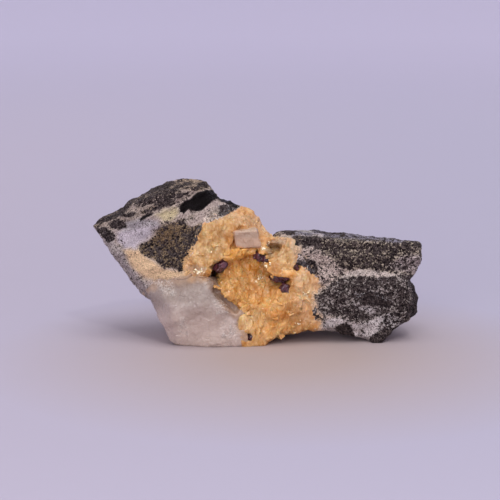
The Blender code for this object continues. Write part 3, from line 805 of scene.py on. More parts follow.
points, dark, pale = paint_rock(
    host_left, LEFT_ACROSS, 5.5, (0.10, 0.42), (GREY_PINK, BED_PALE), LEFT_REGIONS, 6)
thin_beds = streaks(points, LEFT_ALONG, LEFT_ACROSS, 0.8, 9)
bedded = part_of(points, BEDDED) * (1 - part_of(points, LILAC_PATCH, YELLOW_PATCH)) * (dark < 0.7)
dark += 0.60 * (ease(0.0, 0.35, thin_beds) - 0.3) * bedded
dark += 0.55 * thin_beds * part_of(points, TOP_SKIN, HUMP)
pale *= (1 + 0.25 * thin_beds * part_of(points, BEDDED, LILAC_PATCH))[:, None]
vein_near = distance_to(points, "dolomite_vein") + 0.8 * swells(points, 1.4, 7)
stained = (1 - ease(0.4, 1.6, vein_near)) * (1 - ease(25.0, 28.0, points[:, 2]))
note(host_left, "dark", dark * (1 - stained * (dark < 0.6)))
note(host_left, "pale", toward(pale, PEACH_STAIN, stained))
note(host_left, "loose", np.clip(2.0 * (1.15 - dark), 0, 1))
dress(host_left, left_rock)

# %% [markdown]
# ## What the right wall rock shows
# Darker and evenly speckled: an upper slab over a rounded lower body, with a band of white calcite
# between them and a pale foot. It is made in the same way, with its own regions.

# %% Regions of the right wall rock
RIGHT_ACROSS = np.array([0.06, 0.1, 0.99])
CREAM = (0.64, 0.51, 0.41)
CHALK = (0.52, 0.46, 0.42)
OLIVE = (0.40, 0.33, 0.24)

UPPER_BODY = [
    (10.2, 25.1), (15.8, 24.9), (21.9, 24.6), (28.5, 24.0), (35.1, 23.6), (42.5, 23.3), (42.5, 19.4),
    (40.5, 19.4), (38.3, 19.2), (35.9, 18.3), (35.0, 17.0), (34.1, 16.1), (31.9, 16.5),
    (28.5, 17.2), (25.8, 17.2), (23.8, 16.8), (22.3, 17.0), (20.5, 17.9), (18.9, 19.2),
    (17.3, 20.8), (15.8, 21.5), (14.0, 21.5), (10.7, 21.0),
]
DARK_CORNER = [(9.5, 25.3), (16.0, 24.8), (15.9, 21.6), (14.0, 21.5), (9.5, 21.0)]
SLANTED_PIECE = [
    (10.1, 19.2), (11.3, 19.7), (12.9, 19.2), (14.3, 18.3), (15.1, 17.5), (14.9, 16.1),
    (15.4, 15.0), (14.0, 15.5), (12.9, 16.7), (10.9, 17.9),
]
WHITE_BAND = [
    (20.5, 13.8), (21.2, 15.0), (22.7, 16.1), (25.2, 16.8), (28.5, 17.0), (30.7, 16.5),
    (34.8, 16.0), (36.1, 15.8), (35.7, 14.9), (33.0, 15.2), (30.7, 15.0), (27.4, 15.1),
    (24.9, 15.0), (22.7, 14.5),
]
PALE_END = [
    (33.0, 18.0), (35.8, 20.0), (37.5, 20.6), (39.6, 20.6), (42.5, 19.6), (42.5, 17.0),
    (40.0, 15.8), (37.4, 15.6), (35.0, 16.4),
]
LOWER_BODY = [
    (13.6, 6.8), (14.5, 9.0), (16.0, 10.5), (17.4, 12.3), (18.9, 13.4), (20.9, 14.3), (22.7, 14.5),
    (24.9, 14.8), (27.6, 15.0), (30.7, 14.8), (34.1, 15.0), (35.8, 15.0), (39.4, 15.4),
    (42.5, 15.4), (42.5, 11.1), (42.5, 7.9), (39.4, 5.7), (36.8, 4.0), (34.2, 6.0), (30.9, 5.1), (27.5, 3.9),
    (24.1, 3.5), (20.7, 4.7), (18.1, 4.7), (15.9, 5.2), (14.5, 5.6),
]
DARK_CORE = [
    (24.0, 10.6), (27.3, 11.2), (29.8, 10.6), (32.1, 10.0), (33.9, 9.0), (33.7, 7.8), (30.8, 7.8),
    (28.0, 8.9), (25.4, 9.0), (24.0, 10.1),
]
DARK_STREAK = [
    (27.8, 14.7), (30.7, 14.8), (34.3, 15.2), (34.9, 13.9), (34.0, 13.2), (31.6, 13.4), (29.1, 14.2),
]
PALE_FLECKS = [(24.1, 8.1), (26.3, 8.3), (28.6, 7.4), (30.8, 6.3), (28.2, 5.6), (25.4, 7.0)]
PALE_BOTTOM = [
    (17.4, 3.8), (20.5, 4.7), (24.1, 3.5), (27.5, 3.9), (30.9, 5.3), (32.2, 5.2), (32.0, 3.0),
    (31.0, 1.3), (31.0, -2.5), (16.5, -2.5), (16.0, 1.5),
]
LOWER_RIGHT = [(31.5, 6.5), (37.5, 6.0), (37.5, 0.5), (33.5, -2.5), (30.5, 0.5)]
LOW_PIECE = [(19.8, 2.7), (21.9, 2.9), (23.8, 2.6), (24.2, 1.5), (25.4, -1.8), (21.0, -1.8), (20.0, 1.5)]
LOW_CHIP = [(25.9, 1.5), (26.6, 2.1), (26.8, 0.9)]
FOOT_TIP = [(30.0, 0.7), (32.2, 1.7), (34.3, 1.3), (33.5, -2.5), (29.3, -2.5), (28.6, -0.6)]
SMALL_PIECE = [(14.5, 5.9), (15.8, 5.7), (16.8, 4.5), (16.3, 3.5), (15.2, 4.2)]
# The right end, where it turns away from the light: its darker grains are painted shade.
PAINTED_SHADE_SIDE = [(39.0, 13.7), (42.5, 13.8), (42.5, 5.0), (38.4, 5.0), (39.1, 8.0), (39.4, 10.2)]
TOP_FACE = [(9.0, 28.0), (43.0, 27.0), (43.0, 23.2), (35.1, 23.5), (28.5, 23.9), (20.0, 24.3), (9.0, 24.9)]
PALE_STRIPE = [
    (9.1, 25.8), (11.5, 25.6), (13.6, 25.2), (14.6, 25.4), (17.0, 25.8), (17.4, 25.1), (15.4, 24.7),
    (13.6, 24.8), (11.5, 25.1), (9.2, 25.3),
]
RIDGE_PALE = [
    (10.2, 26.9), (11.9, 27.3), (13.8, 26.8), (15.6, 25.9), (14.3, 25.9), (12.4, 26.1), (10.3, 26.3),
]
RIDGE_DARK = [(6.8, 26.1), (8.2, 27.0), (10.0, 27.2), (10.3, 26.2), (9.0, 25.9), (7.1, 25.9)]
RIDGE_LINE = [
    (17.0, 27.0), (19.4, 27.0), (21.2, 26.4), (23.0, 25.9), (22.7, 25.5), (20.7, 25.8), (19.1, 26.2),
    (17.2, 26.3),
]
CREAM_ZONE = [
    (10.2, 22.3), (14.0, 22.3), (16.5, 21.1), (19.8, 18.6),
    (22.3, 17.1), (22.3, 15.4), (18.5, 14.1), (16.5, 11.6),
    (14.0, 9.1), (12.5, 9.1), (11.0, 11.6), (10.3, 16.6),
]
RIGHT_REGIONS = [
    (TOP_FACE, 0.56, (0.29, 0.265, 0.31), 0.6),
    (PALE_STRIPE, 0.05, (0.52, 0.44, 0.42), 0.4),
    (RIDGE_PALE, 0.15, (0.44, 0.40, 0.37), 0.5),
    (RIDGE_DARK, 1.05, (0.20, 0.17, 0.18), 0.4),
    (RIDGE_LINE, 1.05, (0.20, 0.17, 0.18), 0.4),
    (UPPER_BODY, 0.72, OLIVE, 1.2),
    (DARK_CORNER, 0.86, (0.30, 0.26, 0.22), 1.2),
    (CREAM_ZONE, 0.42, (0.56, 0.45, 0.37), 1.5),
    (WHITE_BAND, 0.20, (0.60, 0.51, 0.43), 1.0),
    (PALE_END, 0.48, (0.45, 0.37, 0.33), 1.5),
    (PALE_BOTTOM, 0.24, (0.58, 0.51, 0.47), 1.5),
    (LOWER_RIGHT, 0.66, (0.44, 0.39, 0.36), 1.5),
    (LOWER_BODY, 0.72, (0.36, 0.31, 0.27), 0.9),
    (DARK_CORE, 0.93, (0.30, 0.28, 0.27), 1.5),
    (DARK_STREAK, 0.90, (0.30, 0.26, 0.24), 0.9),
    (PALE_FLECKS, 0.45, CHALK, 1.5),
    (SLANTED_PIECE, 0.90, (0.34, 0.28, 0.24), 0.5),
    (LOW_PIECE, 0.85, (0.34, 0.28, 0.24), 0.5),
    (LOW_CHIP, 0.90, (0.34, 0.28, 0.24), 0.4),
    (FOOT_TIP, 0.88, (0.34, 0.28, 0.24), 0.6),
    (SMALL_PIECE, 0.92, (0.34, 0.28, 0.24), 0.5),
    (PAINTED_SHADE_SIDE, 0.94, (0.24, 0.21, 0.20), 1.0),
]

print("the right wall rock has", len(RIGHT_REGIONS), "regions")

# %% [markdown]
# ## The right wall rock's shape and colours
# Its beds are thicker than the left rock's but show less in its relief, and fine lumps show more.
# Its grains lie loose all over, and so the edges of its regions are ragged.

# %% Right wall rock
CREAM_STAIN = (0.74, 0.50, 0.30)

host_right = fine_copy("host_rock_right", "rock_right", 0.3, 1)
grow_into(host_right, ["dolomite_vein"], 102)
points = points_of(host_right)
raise_by(host_right, 0.2 + 0.35 * swells(points, 3.0, 21) + 0.25 * beds(points, RIGHT_ACROSS, 1.8, 22)
         + 0.30 * blocks(points, 2.4, 23) + 0.18 * swells(points, 0.9, 24) + 0.12 * swells(points, 0.45, 25))
points, dark, pale = paint_rock(
    host_right, RIGHT_ACROSS, 8.0, (0.25, 0.80), (CREAM, OLIVE), RIGHT_REGIONS, 26)
vein_near = distance_to(points, "dolomite_vein") + 0.8 * swells(points, 1.4, 27)
stained = 1 - ease(0.3, 1.8, vein_near)
note(host_right, "dark", dark * (1 - 0.9 * stained * (dark < 0.85)))
note(host_right, "pale", toward(pale, CREAM_STAIN, stained))
note(host_right, "loose", np.full(len(points), 1.0))
dress(host_right, right_rock)

# %% [markdown]
# ## Small crystals
# A rhombohedron is a cube leaned over along its diagonal, and it is the shape of dolomite crystals.
# Geometry Nodes could strew instances of one over the stone, but each here differs in its three
# sides, so a loop takes create_cube with a matrix that leans, sizes, turns and places it, half sunk
# into the stone below. A sparkle is the same, turned so that it mirrors the small lamp.

# %% Small crystals
LEAN = Matrix.Scale(0.8, 4, Vector((1, 1, 1)).normalized())
# A leaned cube's upper face looks this way, and SQUARE_ON turns it level.
UPPER_FACE = (LEAN.inverted().transposed() @ Vector((0, 0, 1, 0))).to_3d()
SQUARE_ON = UPPER_FACE.rotation_difference(Vector((0, 0, 1))).to_matrix().to_4x4()
# How far a crystal may swing from upright, in radians, and a sparkle from where it should look.
SWING = 0.9
SPARKLE_SWING = 0.04
# Half-way between where the camera and the small lamp stand, seen from the stone.
FLASH_SIDE = (0.113, -0.857, 0.502)
SHARP_FROM = math.radians(28)


def scatter_crystals(piece, count, sizes, weights, sunk, seed, flash=None):
    """A mesh of rhombohedra that stand in the faces of a piece, or turn a face to one side together."""
    draw = random.Random(seed)
    places = [(face.center.copy(), face.normal.copy()) for face in piece.data.polygons]
    swing = SPARKLE_SWING if flash else SWING
    shape = bmesh.new()
    for centre, normal in draw.choices(places, weights, k=count):
        size = draw.uniform(*sizes) * MM
        lean = Euler([draw.uniform(-swing, swing), draw.uniform(-swing, swing), draw.uniform(0, 6.28)])
        turn = Vector(flash or normal).to_track_quat("Z", "Y").to_matrix() @ lean.to_matrix()
        turn = turn.to_4x4() @ (SQUARE_ON if flash else Matrix())
        sides = Matrix.Diagonal([size * draw.uniform(0.7, 1.3) for _ in range(3)] + [1.0])
        spot = Matrix.Translation(centre - normal * size * sunk)
        bmesh.ops.create_cube(shape, size=1.0, matrix=spot @ turn @ LEAN @ sides)
    return shape


def join_in(piece, shape):
    """Adds the crystals to a piece's mesh, behind its own points, and keeps their edges sharp."""
    body = bmesh.new()
    body.from_mesh(piece.data)
    spare = bpy.data.meshes.new("crystals")
    shape.to_mesh(spare)
    shape.free()
    body.from_mesh(spare)
    body.to_mesh(piece.data)
    body.free()
    bpy.data.meshes.remove(spare)
    piece.data.polygons.foreach_set("use_smooth", np.ones(len(piece.data.polygons), bool))
    piece.data.set_sharp_from_angle(angle=SHARP_FROM)


print("a leaned cube's upper face looks along", [round(part, 2) for part in UPPER_FACE.normalized()])

# %% [markdown]
# ## What the vein shows
# The hollow is gold, the rim cream and peach, and the low places are amber. Here and there a skin of wall
# rock is left on it, clusters of tiny crystals sparkle, and dark holes go in between the larger ones. All of
# these are outlines again, and some patches are painted shade or painted light: the shadow under the grey
# piece, the deep hole and the pillar's left face darker, the hollow's ceiling and the down-facing low front
# lighter. The lone crystals in it are kept free of its relief.

# %% Regions of the vein
LONE = ["calcite_block"] + ["cinnabar_" + name for name in ("left", "top", "right", "low", "edge", "foot")]
HOLLOW_RIM = [
    (-12.3, 14.2), (-11.6, 16.6), (-9.6, 18.9), (-7.5, 20.2), (-6.4, 21.3), (-3.9, 22.2), (-1.0, 22.8),
    (2.5, 22.9), (4.6, 22.6), (5.4, 20.0), (5.5, 17.6), (10.2, 17.4), (10.3, 12.9), (8.8, 9.8),
    (7.0, 7.4), (3.5, 5.6), (-1.0, 5.6), (-3.2, 6.6), (-6.4, 8.3), (-9.4, 11.0), (-11.4, 12.8),
]


def clear_of_lone(points):
    """0 at the lone crystals and 1 well away from them."""
    free = np.ones(len(points))
    for name in LONE:
        low, high = (np.array(corner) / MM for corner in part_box(name))
        near = np.all((points > low - 1.8) & (points < high + 1.8), axis=1)
        if near.any():
            free[near] = np.minimum(free[near], ease(0.3, 1.6, distance_to(points[near], name)))
    return free


# Clusters of tiny bright crystals, and holes and slits between the blocks.
SPARKLES = [
    [(0.8, 23.9), (3.3, 23.9), (3.5, 21.9), (2.0, 21.1), (0.8, 22.1)],
    [(1.7, 18.8), (3.7, 19.0), (3.7, 17.0), (2.2, 16.8), (0.4, 17.0)],
    [(0.4, 15.4), (2.2, 15.9), (2.4, 14.3), (1.1, 13.4), (0.4, 13.8)],
    [(11.6, 11.4), (14.0, 11.4), (14.0, 10.6), (11.6, 10.5)],
    [(-15.2, 17.0), (-13.4, 17.2), (-13.2, 15.9), (-15.0, 15.6)],
    [(-8.3, 14.7), (-7.7, 14.9), (-7.6, 14.2), (-8.2, 14.1)],
    [(9.6, 4.1), (11.2, 4.0), (11.0, 2.9), (9.8, 2.9)],
]
PITS = [
    [(3.2, 23.2), (4.6, 23.0), (6.1, 22.6), (5.6, 21.6), (4.6, 21.5), (3.9, 20.6), (3.1, 19.6), (2.6, 21.0)],
    [(-11.1, 14.6), (-9.9, 14.6), (-10.1, 14.0), (-11.2, 14.1)],
    [(-1.8, 6.8), (0.0, 6.7), (-0.3, 6.1), (-1.4, 6.3)],
]

# The sparkles' pale tone, past white in red: a painted glint, on top of the small lamp's real one.
SPARKLE_GLINT_TONE = (1.15, 0.98, 0.80)
# Added to the highest points of the dolomite: a painted highlight.
HIGHLIGHT_PAINT_TONE = np.array((0.11, 0.09, 0.05))
AMBER = (0.55, 0.25, 0.07)
PEACH = (0.74, 0.44, 0.19)
ROSE = (0.80, 0.52, 0.36)
GOLD = (0.80, 0.42, 0.125)
# Each patch of the front: outline, colour, width of its edge.
VEIN_TONES = [
    (HOLLOW_RIM, GOLD, 1.5),
    # Gold under the hollow's ceiling, made brighter as painted light against the shade there.
    ([(-9.2, 21.4), (-5.8, 22.1), (-1.8, 22.1), (0.4, 21.0), (3.7, 21.0), (3.7, 18.8), (0.4, 17.0),
      (0.0, 16.1), (-3.6, 16.5), (-5.8, 16.1), (-7.0, 17.9), (-7.6, 19.9)], (0.93, 0.48, 0.10), 1.5),
    ([(-13.7, 28.8), (-9.6, 29.9), (-5.2, 30.1), (-5.6, 27.7), (-7.4, 25.9), (-7.2, 21.9),
      (-10.1, 21.0), (-13.9, 23.0), (-13.9, 27.0)], (0.78, 0.50, 0.23), 2.0),
    # Painted shadow under the grey piece of wall rock above.
    ([(-10.0, 31.2), (-5.0, 31.2), (-4.8, 29.2), (-9.8, 28.8)], (0.52, 0.34, 0.20), 1.5),
    ([(-5.2, 30.4), (0.4, 30.8), (2.4, 27.7), (3.5, 25.0), (1.7, 25.2), (-1.4, 27.7), (-5.2, 27.7)],
     (0.68, 0.42, 0.26), 1.5),
    ([(-15.2, 23.0), (-12.1, 23.0), (-9.2, 21.9), (-7.9, 19.7), (-10.8, 18.2), (-13.4, 17.6),
      (-15.9, 18.3), (-17.0, 20.8)], (0.88, 0.60, 0.30), 1.5),
    ([(-17.2, 17.9), (-15.2, 18.1), (-12.3, 17.6), (-12.1, 15.0), (-13.9, 14.4), (-16.6, 15.0)],
     (0.53, 0.35, 0.255), 1.0),
    ([(5.5, 21.4), (7.1, 22.1), (9.8, 23.0), (10.0, 17.9), (8.9, 16.1), (6.2, 16.5), (5.5, 18.8)],
     (0.72, 0.48, 0.25), 1.0),
    ([(9.0, 22.4), (10.8, 22.4), (11.0, 18.4), (9.4, 18.4)], (0.48, 0.32, 0.20), 1.0),
    # The pillar's left face: its own amber, darker here as painted shade.
    ([(3.7, 21.2), (5.5, 21.4), (5.5, 16.5), (7.1, 16.1), (4.2, 15.9), (3.7, 17.9)], AMBER, 1.0),
    ([(3.7, 24.3), (7.3, 24.3), (8.4, 24.8), (10.2, 25.2), (10.2, 21.4), (8.4, 22.8), (6.2, 23.0),
      (4.0, 23.4)], (0.42, 0.28, 0.22), 0.8),
    # The deep hole beside the pillar, painted near black as painted shade.
    ([(2.8, 23.5), (4.6, 23.3), (6.4, 22.9), (6.0, 21.6), (4.7, 21.3), (4.1, 20.4), (3.2, 19.4), (2.3, 21.0)],
     (0.12, 0.06, 0.02), 1.4),
    ([(10.4, 16.1), (12.5, 16.5), (14.5, 14.3), (16.5, 13.2), (15.1, 10.3), (11.6, 10.7), (9.6, 12.1),
      (9.6, 14.3)], (0.84, 0.56, 0.34), 1.5),
    ([(11.6, 10.7), (15.1, 10.3), (13.8, 8.0), (13.6, 5.1), (14.7, 3.6), (11.6, 4.0), (10.4, 6.9),
      (8.9, 8.9)], (0.88, 0.56, 0.34), 1.5),
    ([(2.6, 7.2), (5.8, 6.7), (8.4, 6.0), (8.2, 4.7), (6.2, 3.8), (4.9, 4.0), (3.3, 5.1)],
     (0.74, 0.32, 0.06), 1.2),
    # The orange low front, lifted past its own colour as painted light, because it faces down.
    ([(1.7, 4.2), (4.9, 3.9), (9.3, 3.4), (8.9, 1.1), (5.8, 0.7), (4.0, -0.4), (1.7, 0.9)],
     (1.08, 0.60, 0.20), 1.5),
    ([(-5.8, 5.6), (-3.2, 5.6), (-2.9, 4.0), (-4.7, 3.6), (-5.8, 4.7)], (0.74, 0.60, 0.34), 1.0),
    ([(-2.9, 6.7), (1.7, 6.5), (2.6, 3.6), (1.3, 1.3), (0.8, -2.0), (-1.8, -0.9), (-2.7, 2.5)],
     (0.84, 0.56, 0.28), 1.5),
]


# Parts of the vein's front that still carry a skin of wall rock.
ROCK_SKIN = [
    [(-20.0, 28.5), (-12.9, 28.4), (-14.0, 26.0), (-14.9, 23.7), (-16.0, 20.8), (-17.0, 18.8), (-20.0, 18.0)],
    [(-14.5, 34.0), (-14.5, 28.4), (-12.6, 28.2), (-9.0, 29.4), (-6.0, 30.9), (-4.2, 32.4), (-3.6, 34.5)],
    [(10.3, 24.5), (10.2, 18.0), (11.6, 17.3), (12.9, 16.4),
     (14.0, 15.3), (15.4, 14.6), (19.0, 14.6), (19.0, 24.5)],
    [(14.2, 9.0), (14.0, 5.6), (15.2, 4.0), (19.0, 3.0), (19.0, 10.0)],
]


print("the vein has", len(VEIN_TONES), "patches and", len(SPARKLES), "clusters of sparkles")

# %% [markdown]
# ## The dolomite's colours and crystals
# What stands out is painted paler than what lies low: painted shade in the low places of the relief and a
# painted highlight on its tops, over the dolomite's own amber and peach. So the relief's own height sets the
# tone first, and each patch then draws it to its colour. The crystals are strewn on top, the larger ones
# first, and the last sort are the sparkles, painted pale as a painted glint.

# %% Colours and crystals of the dolomite
SUNK = 0.42
SPARKLE_SUNK = 0.25
SPARKLE_SORT = (130, (0.25, 0.5))


def dolomite_notes(piece, heights, bright):
    """Notes each point's colour: amber where it lies low, peach where it stands out, then the patches."""
    points = points_of(piece)
    plan = front_plan(points) + 0.5 * wobble(points, 1.6, 44)
    seen = facing(piece)
    # Painted shade and highlight: low places go amber, high ones peach, and the highest are lifted further.
    rise = ease(-0.55, 0.65, heights + 0.40 * swells(points, 2.2, 46) + 0.25 * swells(points, 0.8, 47))
    tone = toward(np.array(AMBER), PEACH, rise)
    for outline, color, edge in VEIN_TONES:
        patch = np.array(color) * (0.75 + 0.27 * rise[:, None]) + HIGHLIGHT_PAINT_TONE * rise[:, None] ** 3
        tone = toward(tone, patch, 0.85 * seen * cover_of(plan, outline, edge))
    left = distance_to(points, "host_rock_left") + 0.7 * swells(points, 1.5, 42)
    right = distance_to(points, "host_rock_right") + 0.7 * swells(points, 1.5, 43)
    tone = toward(tone, ROSE, 0.6 * (1 - ease(0.2, 1.4, np.minimum(left, right))))
    regions = LEFT_REGIONS + RIGHT_REGIONS
    dark, pale = paint_rock(piece, LEFT_ACROSS, 5.5, (0.3, 0.3), (CREAM, CREAM), regions, 48)[1:]
    note(piece, "dark", dark)
    note(piece, "pale", pale)
    note(piece, "loose", np.full(len(points), 0.8))
    note(piece, "rock", np.minimum(2 * seen, 1) * part_of(points, *ROCK_SKIN))
    # The sparkles are painted pale here as a painted glint.
    note(piece, "tone", toward(tone, SPARKLE_GLINT_TONE, bright))
    note(piece, "flash", np.minimum(3 * bright, 1.0))


def crystal_weights(piece, margin):
    """How likely a face is to carry a crystal: none at contacts, at lone crystals or on the ground."""
    centres = centres_of(piece)
    weights = (centres[:, 2] > 1.2).astype(float) * (clear_of_lone(centres) > 0.99)
    for node in ("host_rock_left", "host_rock_right", "quartz_mass"):
        weights *= distance_to(centres, node) > margin
    return weights


def grow_crystals(piece, heights, weights, sorts, seed):
    """Joins sorts of crystals (how many, smallest and largest size) and sparkles to a piece."""
    draw = random.Random(seed)
    centres = centres_of(piece)
    shining = part_of(centres, *SPARKLES) * (centres[:, 1] < -3.0) + 1e-9
    sorts = [(*sort, weights, SUNK, None) for sort in sorts]
    sorts.append((*SPARKLE_SORT, shining, SPARKLE_SUNK, FLASH_SIDE))
    bright = np.zeros(len(heights))
    for index, (count, sizes, likely, sunk, flash) in enumerate(sorts):
        count = int(count / COARSE)
        likely = np.append(likely, np.zeros(len(piece.data.polygons) - len(likely)))
        join_in(piece, scatter_crystals(piece, count, sizes, likely, sunk, seed + index, flash))
        rises = [draw.uniform(-0.2, 0.9) for _ in range(count)]
        glints = [(flash is not None) * draw.uniform(0.3, 1.0) for _ in range(count)]
        heights = np.append(heights, np.repeat(rises, 8))
        bright = np.append(bright, np.repeat(glints, 8))
    dolomite_notes(piece, heights, bright)


print("each piece of dolomite gets", int(SPARKLE_SORT[0] / COARSE), "sparkles")

# %% [markdown]
# ## The dolomite vein
# The vein's broken face is made of flat faces that tilt every way, longer up and down than across,
# with smaller ones on them. Its larger crystals and the hollow are in the solid already. Relief
# fades next to the lone crystals, so that it doesn't bury them.

# %% Dolomite vein
# Right of the calcite the vein's top is low and nearly level, and the dark wall shows behind it.
TOP_FROM, TOP_TO = 3.4, 11.5
TOP_ACROSS = [3.4, 4.9, 7.3, 8.8, 9.8, 10.6]
TOP_UP = [25.6, 24.5, 24.0, 24.2, 25.0, 24.4]
# The calcite crystal stands clear of the vein, so what hangs over its front goes back behind it.
CALCITE = [
    (-6.1, 22.9), (-5.4, 25.4), (-4.2, 27.7), (-1.5, 27.9), (0.6, 27.5), (1.7, 26.8), (1.3, 24.2),
    (0.3, 21.9), (-6.0, 21.7),
]
BEHIND_CALCITE = -8.8

vein = fine_copy("dolomite_vein", "vein", 0.3, 1)
grow_into(vein, ["host_rock_left", "host_rock_right", "quartz_mass", "vug_druse", "calcite_block"], 103)
points = points_of(vein)
heights = 0.22 * swells(points, 3.5, 30) + 0.38 * breaks(points, 2.6, 31, (0.8, 1.0, 1.8), 0.12)
heights += 0.20 * breaks(points, 1.1, 32, (0.7, 1.0, 1.8))
heights -= 1.6 * part_of(points, *PITS) * facing(vein)
raise_by(vein, 0.15 + heights * clear_of_lone(points))

points = points_of(vein)
level = np.interp(points[:, 0], TOP_ACROSS, TOP_UP)
over = front_plan(points)[:, 1] - level - 0.25 * swells(points, 1.0, 39)
over *= (points[:, 0] > TOP_FROM) * (points[:, 0] < TOP_TO) * (points[:, 1] < 6.0)
points[:, 2] -= np.maximum(over, 0.0)
set_points(vein, points)

points = points_of(vein)
cover = ease(0.0, 0.6, inside(front_plan(points), CALCITE)) * (points[:, 1] < -5.0)
points[:, 1] = np.maximum(points[:, 1], points[:, 1] + cover * (BEHIND_CALCITE - points[:, 1]))
set_points(vein, points)

grow_crystals(vein, heights, crystal_weights(vein, 0.9), [(35, (1.0, 2.0)), (110, (0.4, 1.0))], 37)
dress(vein, peach)

# %% [markdown]
# ## The crust in the hollow
# A later growth of small golden crystals lines the hollow. It is its own thin piece, with a finer
# net than the vein's, because its crystals are smaller and stand close together.

# %% Crust of the hollow
crust = fine_copy("vug_druse", "crust", 0.2)
grow_into(crust, ["dolomite_vein"], 104)
points = points_of(crust)
heights = 0.33 * breaks(points, 2.6, 35, (0.8, 1.0, 1.8), 0.12)
heights += 0.18 * breaks(points, 0.9, 36, (0.7, 1.0, 1.8))
raise_by(crust, 0.1 + heights * clear_of_lone(points))
grow_crystals(crust, heights, crystal_weights(crust, 0.0), [(15, (0.8, 1.5)), (200, (0.3, 0.8))], 38)
dress(crust, golden)

# %% [markdown]
# ## The quartz's shape
# Massive quartz has no cleavage. It breaks in smooth shells, so its relief is broad and soft, with
# a few sharp steps, and more smoothing goes over its net than over the rock's. At its right edge a
# chip is missing, which is pushed in there.

# %% Shape of the quartz
CHIP = [(-5.0, 5.4), (-1.6, 5.4), (-1.6, 1.8), (-4.2, 1.8)]
CHIP_DEPTH = 0.8

quartz = fine_copy("quartz_mass", "quartz", 0.3, 16)
grow_into(quartz, ["host_rock_left", "dolomite_vein"], 105)
points = points_of(quartz)
raise_by(quartz, 0.2 + 0.22 * swells(points, 5.0, 51) + 0.20 * breaks(points, 6.0, 52)
         + 0.10 * breaks(points, 2.0, 53) + 0.06 * swells(points, 0.6, 54))
points = points_of(quartz)
chipped = ease(0.0, 0.5, inside(front_plan(points), CHIP)) * (points[:, 1] < -5.0)
chipped *= 1 - ease(0.6, 1.6, distance_to(points, "dolomite_vein"))
points[:, 1] += CHIP_DEPTH * chipped
set_points(quartz, points)
print("the quartz's chip takes in", int((chipped > 0.5).sum()), "points")

# %% [markdown]
# ## The quartz's colours
# It is one mineral, but lighter low down than from about 7 mm up, and stained brown and peach where the rock
# and the vein touch it. Its step face under the vein's overhanging edge is tinted darker as painted shade. A
# tint that each point carries multiplies the finish's own colour.
# In four sugary patches small flat crystals turn to the lamp and flash.

# %% Colours of the quartz
# The step face under the vein's overhanging edge; its darker tint is painted shade.
SHADED_STEP_FACE = [(-12.2, 16.0), (-10.2, 15.4), (-2.2, 8.2), (-2.6, 5.2), (-5.7, 5.0), (-7.6, 6.9), (-11.6, 11.9)]
# Each patch: outline, what its colour is multiplied by, width of its edge.
QUARTZ_TINTS = [
    ([(-24.5, 16.5), (-12.0, 17.5), (-11.8, 14.0), (-17.0, 12.8), (-23.5, 12.4)], (0.74, 0.64, 0.53), 3.0),
    (SHADED_STEP_FACE, (0.80, 0.67, 0.55), 1.0),
    ([(-30.0, 13.0), (-24.0, 13.0), (-21.0, 8.0), (-19.0, -2.0), (-28.0, -2.0)], (0.86, 0.85, 0.88), 3.0),
]
SUGAR = [
    [(-9.0, 4.0), (-5.0, 4.0), (-4.5, -0.5), (-8.5, -0.5)],
    [(-20.0, 5.0), (-17.5, 5.5), (-16.5, 0.5), (-18.5, 0.5)],
    [(-26.0, 14.5), (-20.5, 14.0), (-20.0, 10.5), (-23.0, 10.5)],
    [(-11.0, 9.5), (-8.0, 9.0), (-6.5, 6.0), (-9.5, 5.5)],
]
# How light it is at each height on the plan.
SHADE_UP = [0.0, 4.0, 7.0, 9.5, 12.0, 16.0]
SHADE = [1.18, 1.16, 0.98, 0.71, 0.74, 0.84]
STAINS = (("host_rock_left", (0.84, 0.73, 0.60)), ("dolomite_vein", (1.0, 0.76, 0.50)))
FLASHES = 90
FLASH_SIZES = (0.18, 0.36)

own_points = len(quartz.data.vertices)
centres = centres_of(quartz)
likely = part_of(centres, *SUGAR) * (centres[:, 1] < -3.0) * (centres[:, 2] > 0.8) + 1e-9
join_in(quartz, scatter_crystals(quartz, int(FLASHES / COARSE), FLASH_SIZES, likely, 0.2, 58, FLASH_SIDE))
points = points_of(quartz)
note(quartz, "flash", np.arange(len(points)) >= own_points)
note(quartz, "sugar", part_of(points, *SUGAR) * facing(quartz))
plan = front_plan(points) + 0.5 * wobble(points, 2.0, 56)
shade = np.interp(plan[:, 1], SHADE_UP, SHADE)
shade += 0.25 * ease(-20.0, -24.0, plan[:, 0]) * ease(8.0, 3.0, plan[:, 1])
tint = np.repeat(shade[:, None], 3, axis=1)
for outline, color, edge in QUARTZ_TINTS:
    tint *= toward(np.ones_like(tint), color, facing(quartz) * cover_of(plan, outline, edge))
wander = 0.8 * swells(points, 1.5, 55)
for node, color in STAINS:
    stain = 0.8 * (1 - ease(0.2, 1.8, distance_to(points, node) + wander))
    tint = toward(tint, color, stain * (1 - part_of(points, SHADED_STEP_FACE)))
note(quartz, "tint", tint)
dress(quartz, quartz_finish)

# %% [markdown]
# ## The calcite block
# One blocky crystal over the hollow, with worn, uneven faces. Much smoothing rounds its edges, and a light
# relief keeps its faces from being level. It is peach where it leaves the vein, and its top is painted
# darker: painted shade that tones down the lamp above it.

# %% Calcite block
calcite = fine_copy("calcite_block", "calcite", 0.15, 45)
points = points_of(calcite)
raise_by(calcite, 0.05 + 0.35 * swells(points, 2.2, 61) + 0.15 * breaks(points, 1.6, 62))
points = points_of(calcite)
edge = 1 - ease(0.2, 1.1, distance_to(points, "dolomite_vein") + 0.5 * swells(points, 1.0, 63))
# Painted shade: the top of the block is made darker, against the lamp above it.
top = 1.07 - 0.2 * ease(26.6, 27.6, points[:, 2])
note(calcite, "tint", toward(np.ones_like(points), (1.25, 1.0, 0.75), edge) * top[:, None])
note(calcite, "flash", np.zeros(len(points)))
note(calcite, "sugar", np.zeros(len(points)))
dress(calcite, calcite_finish)

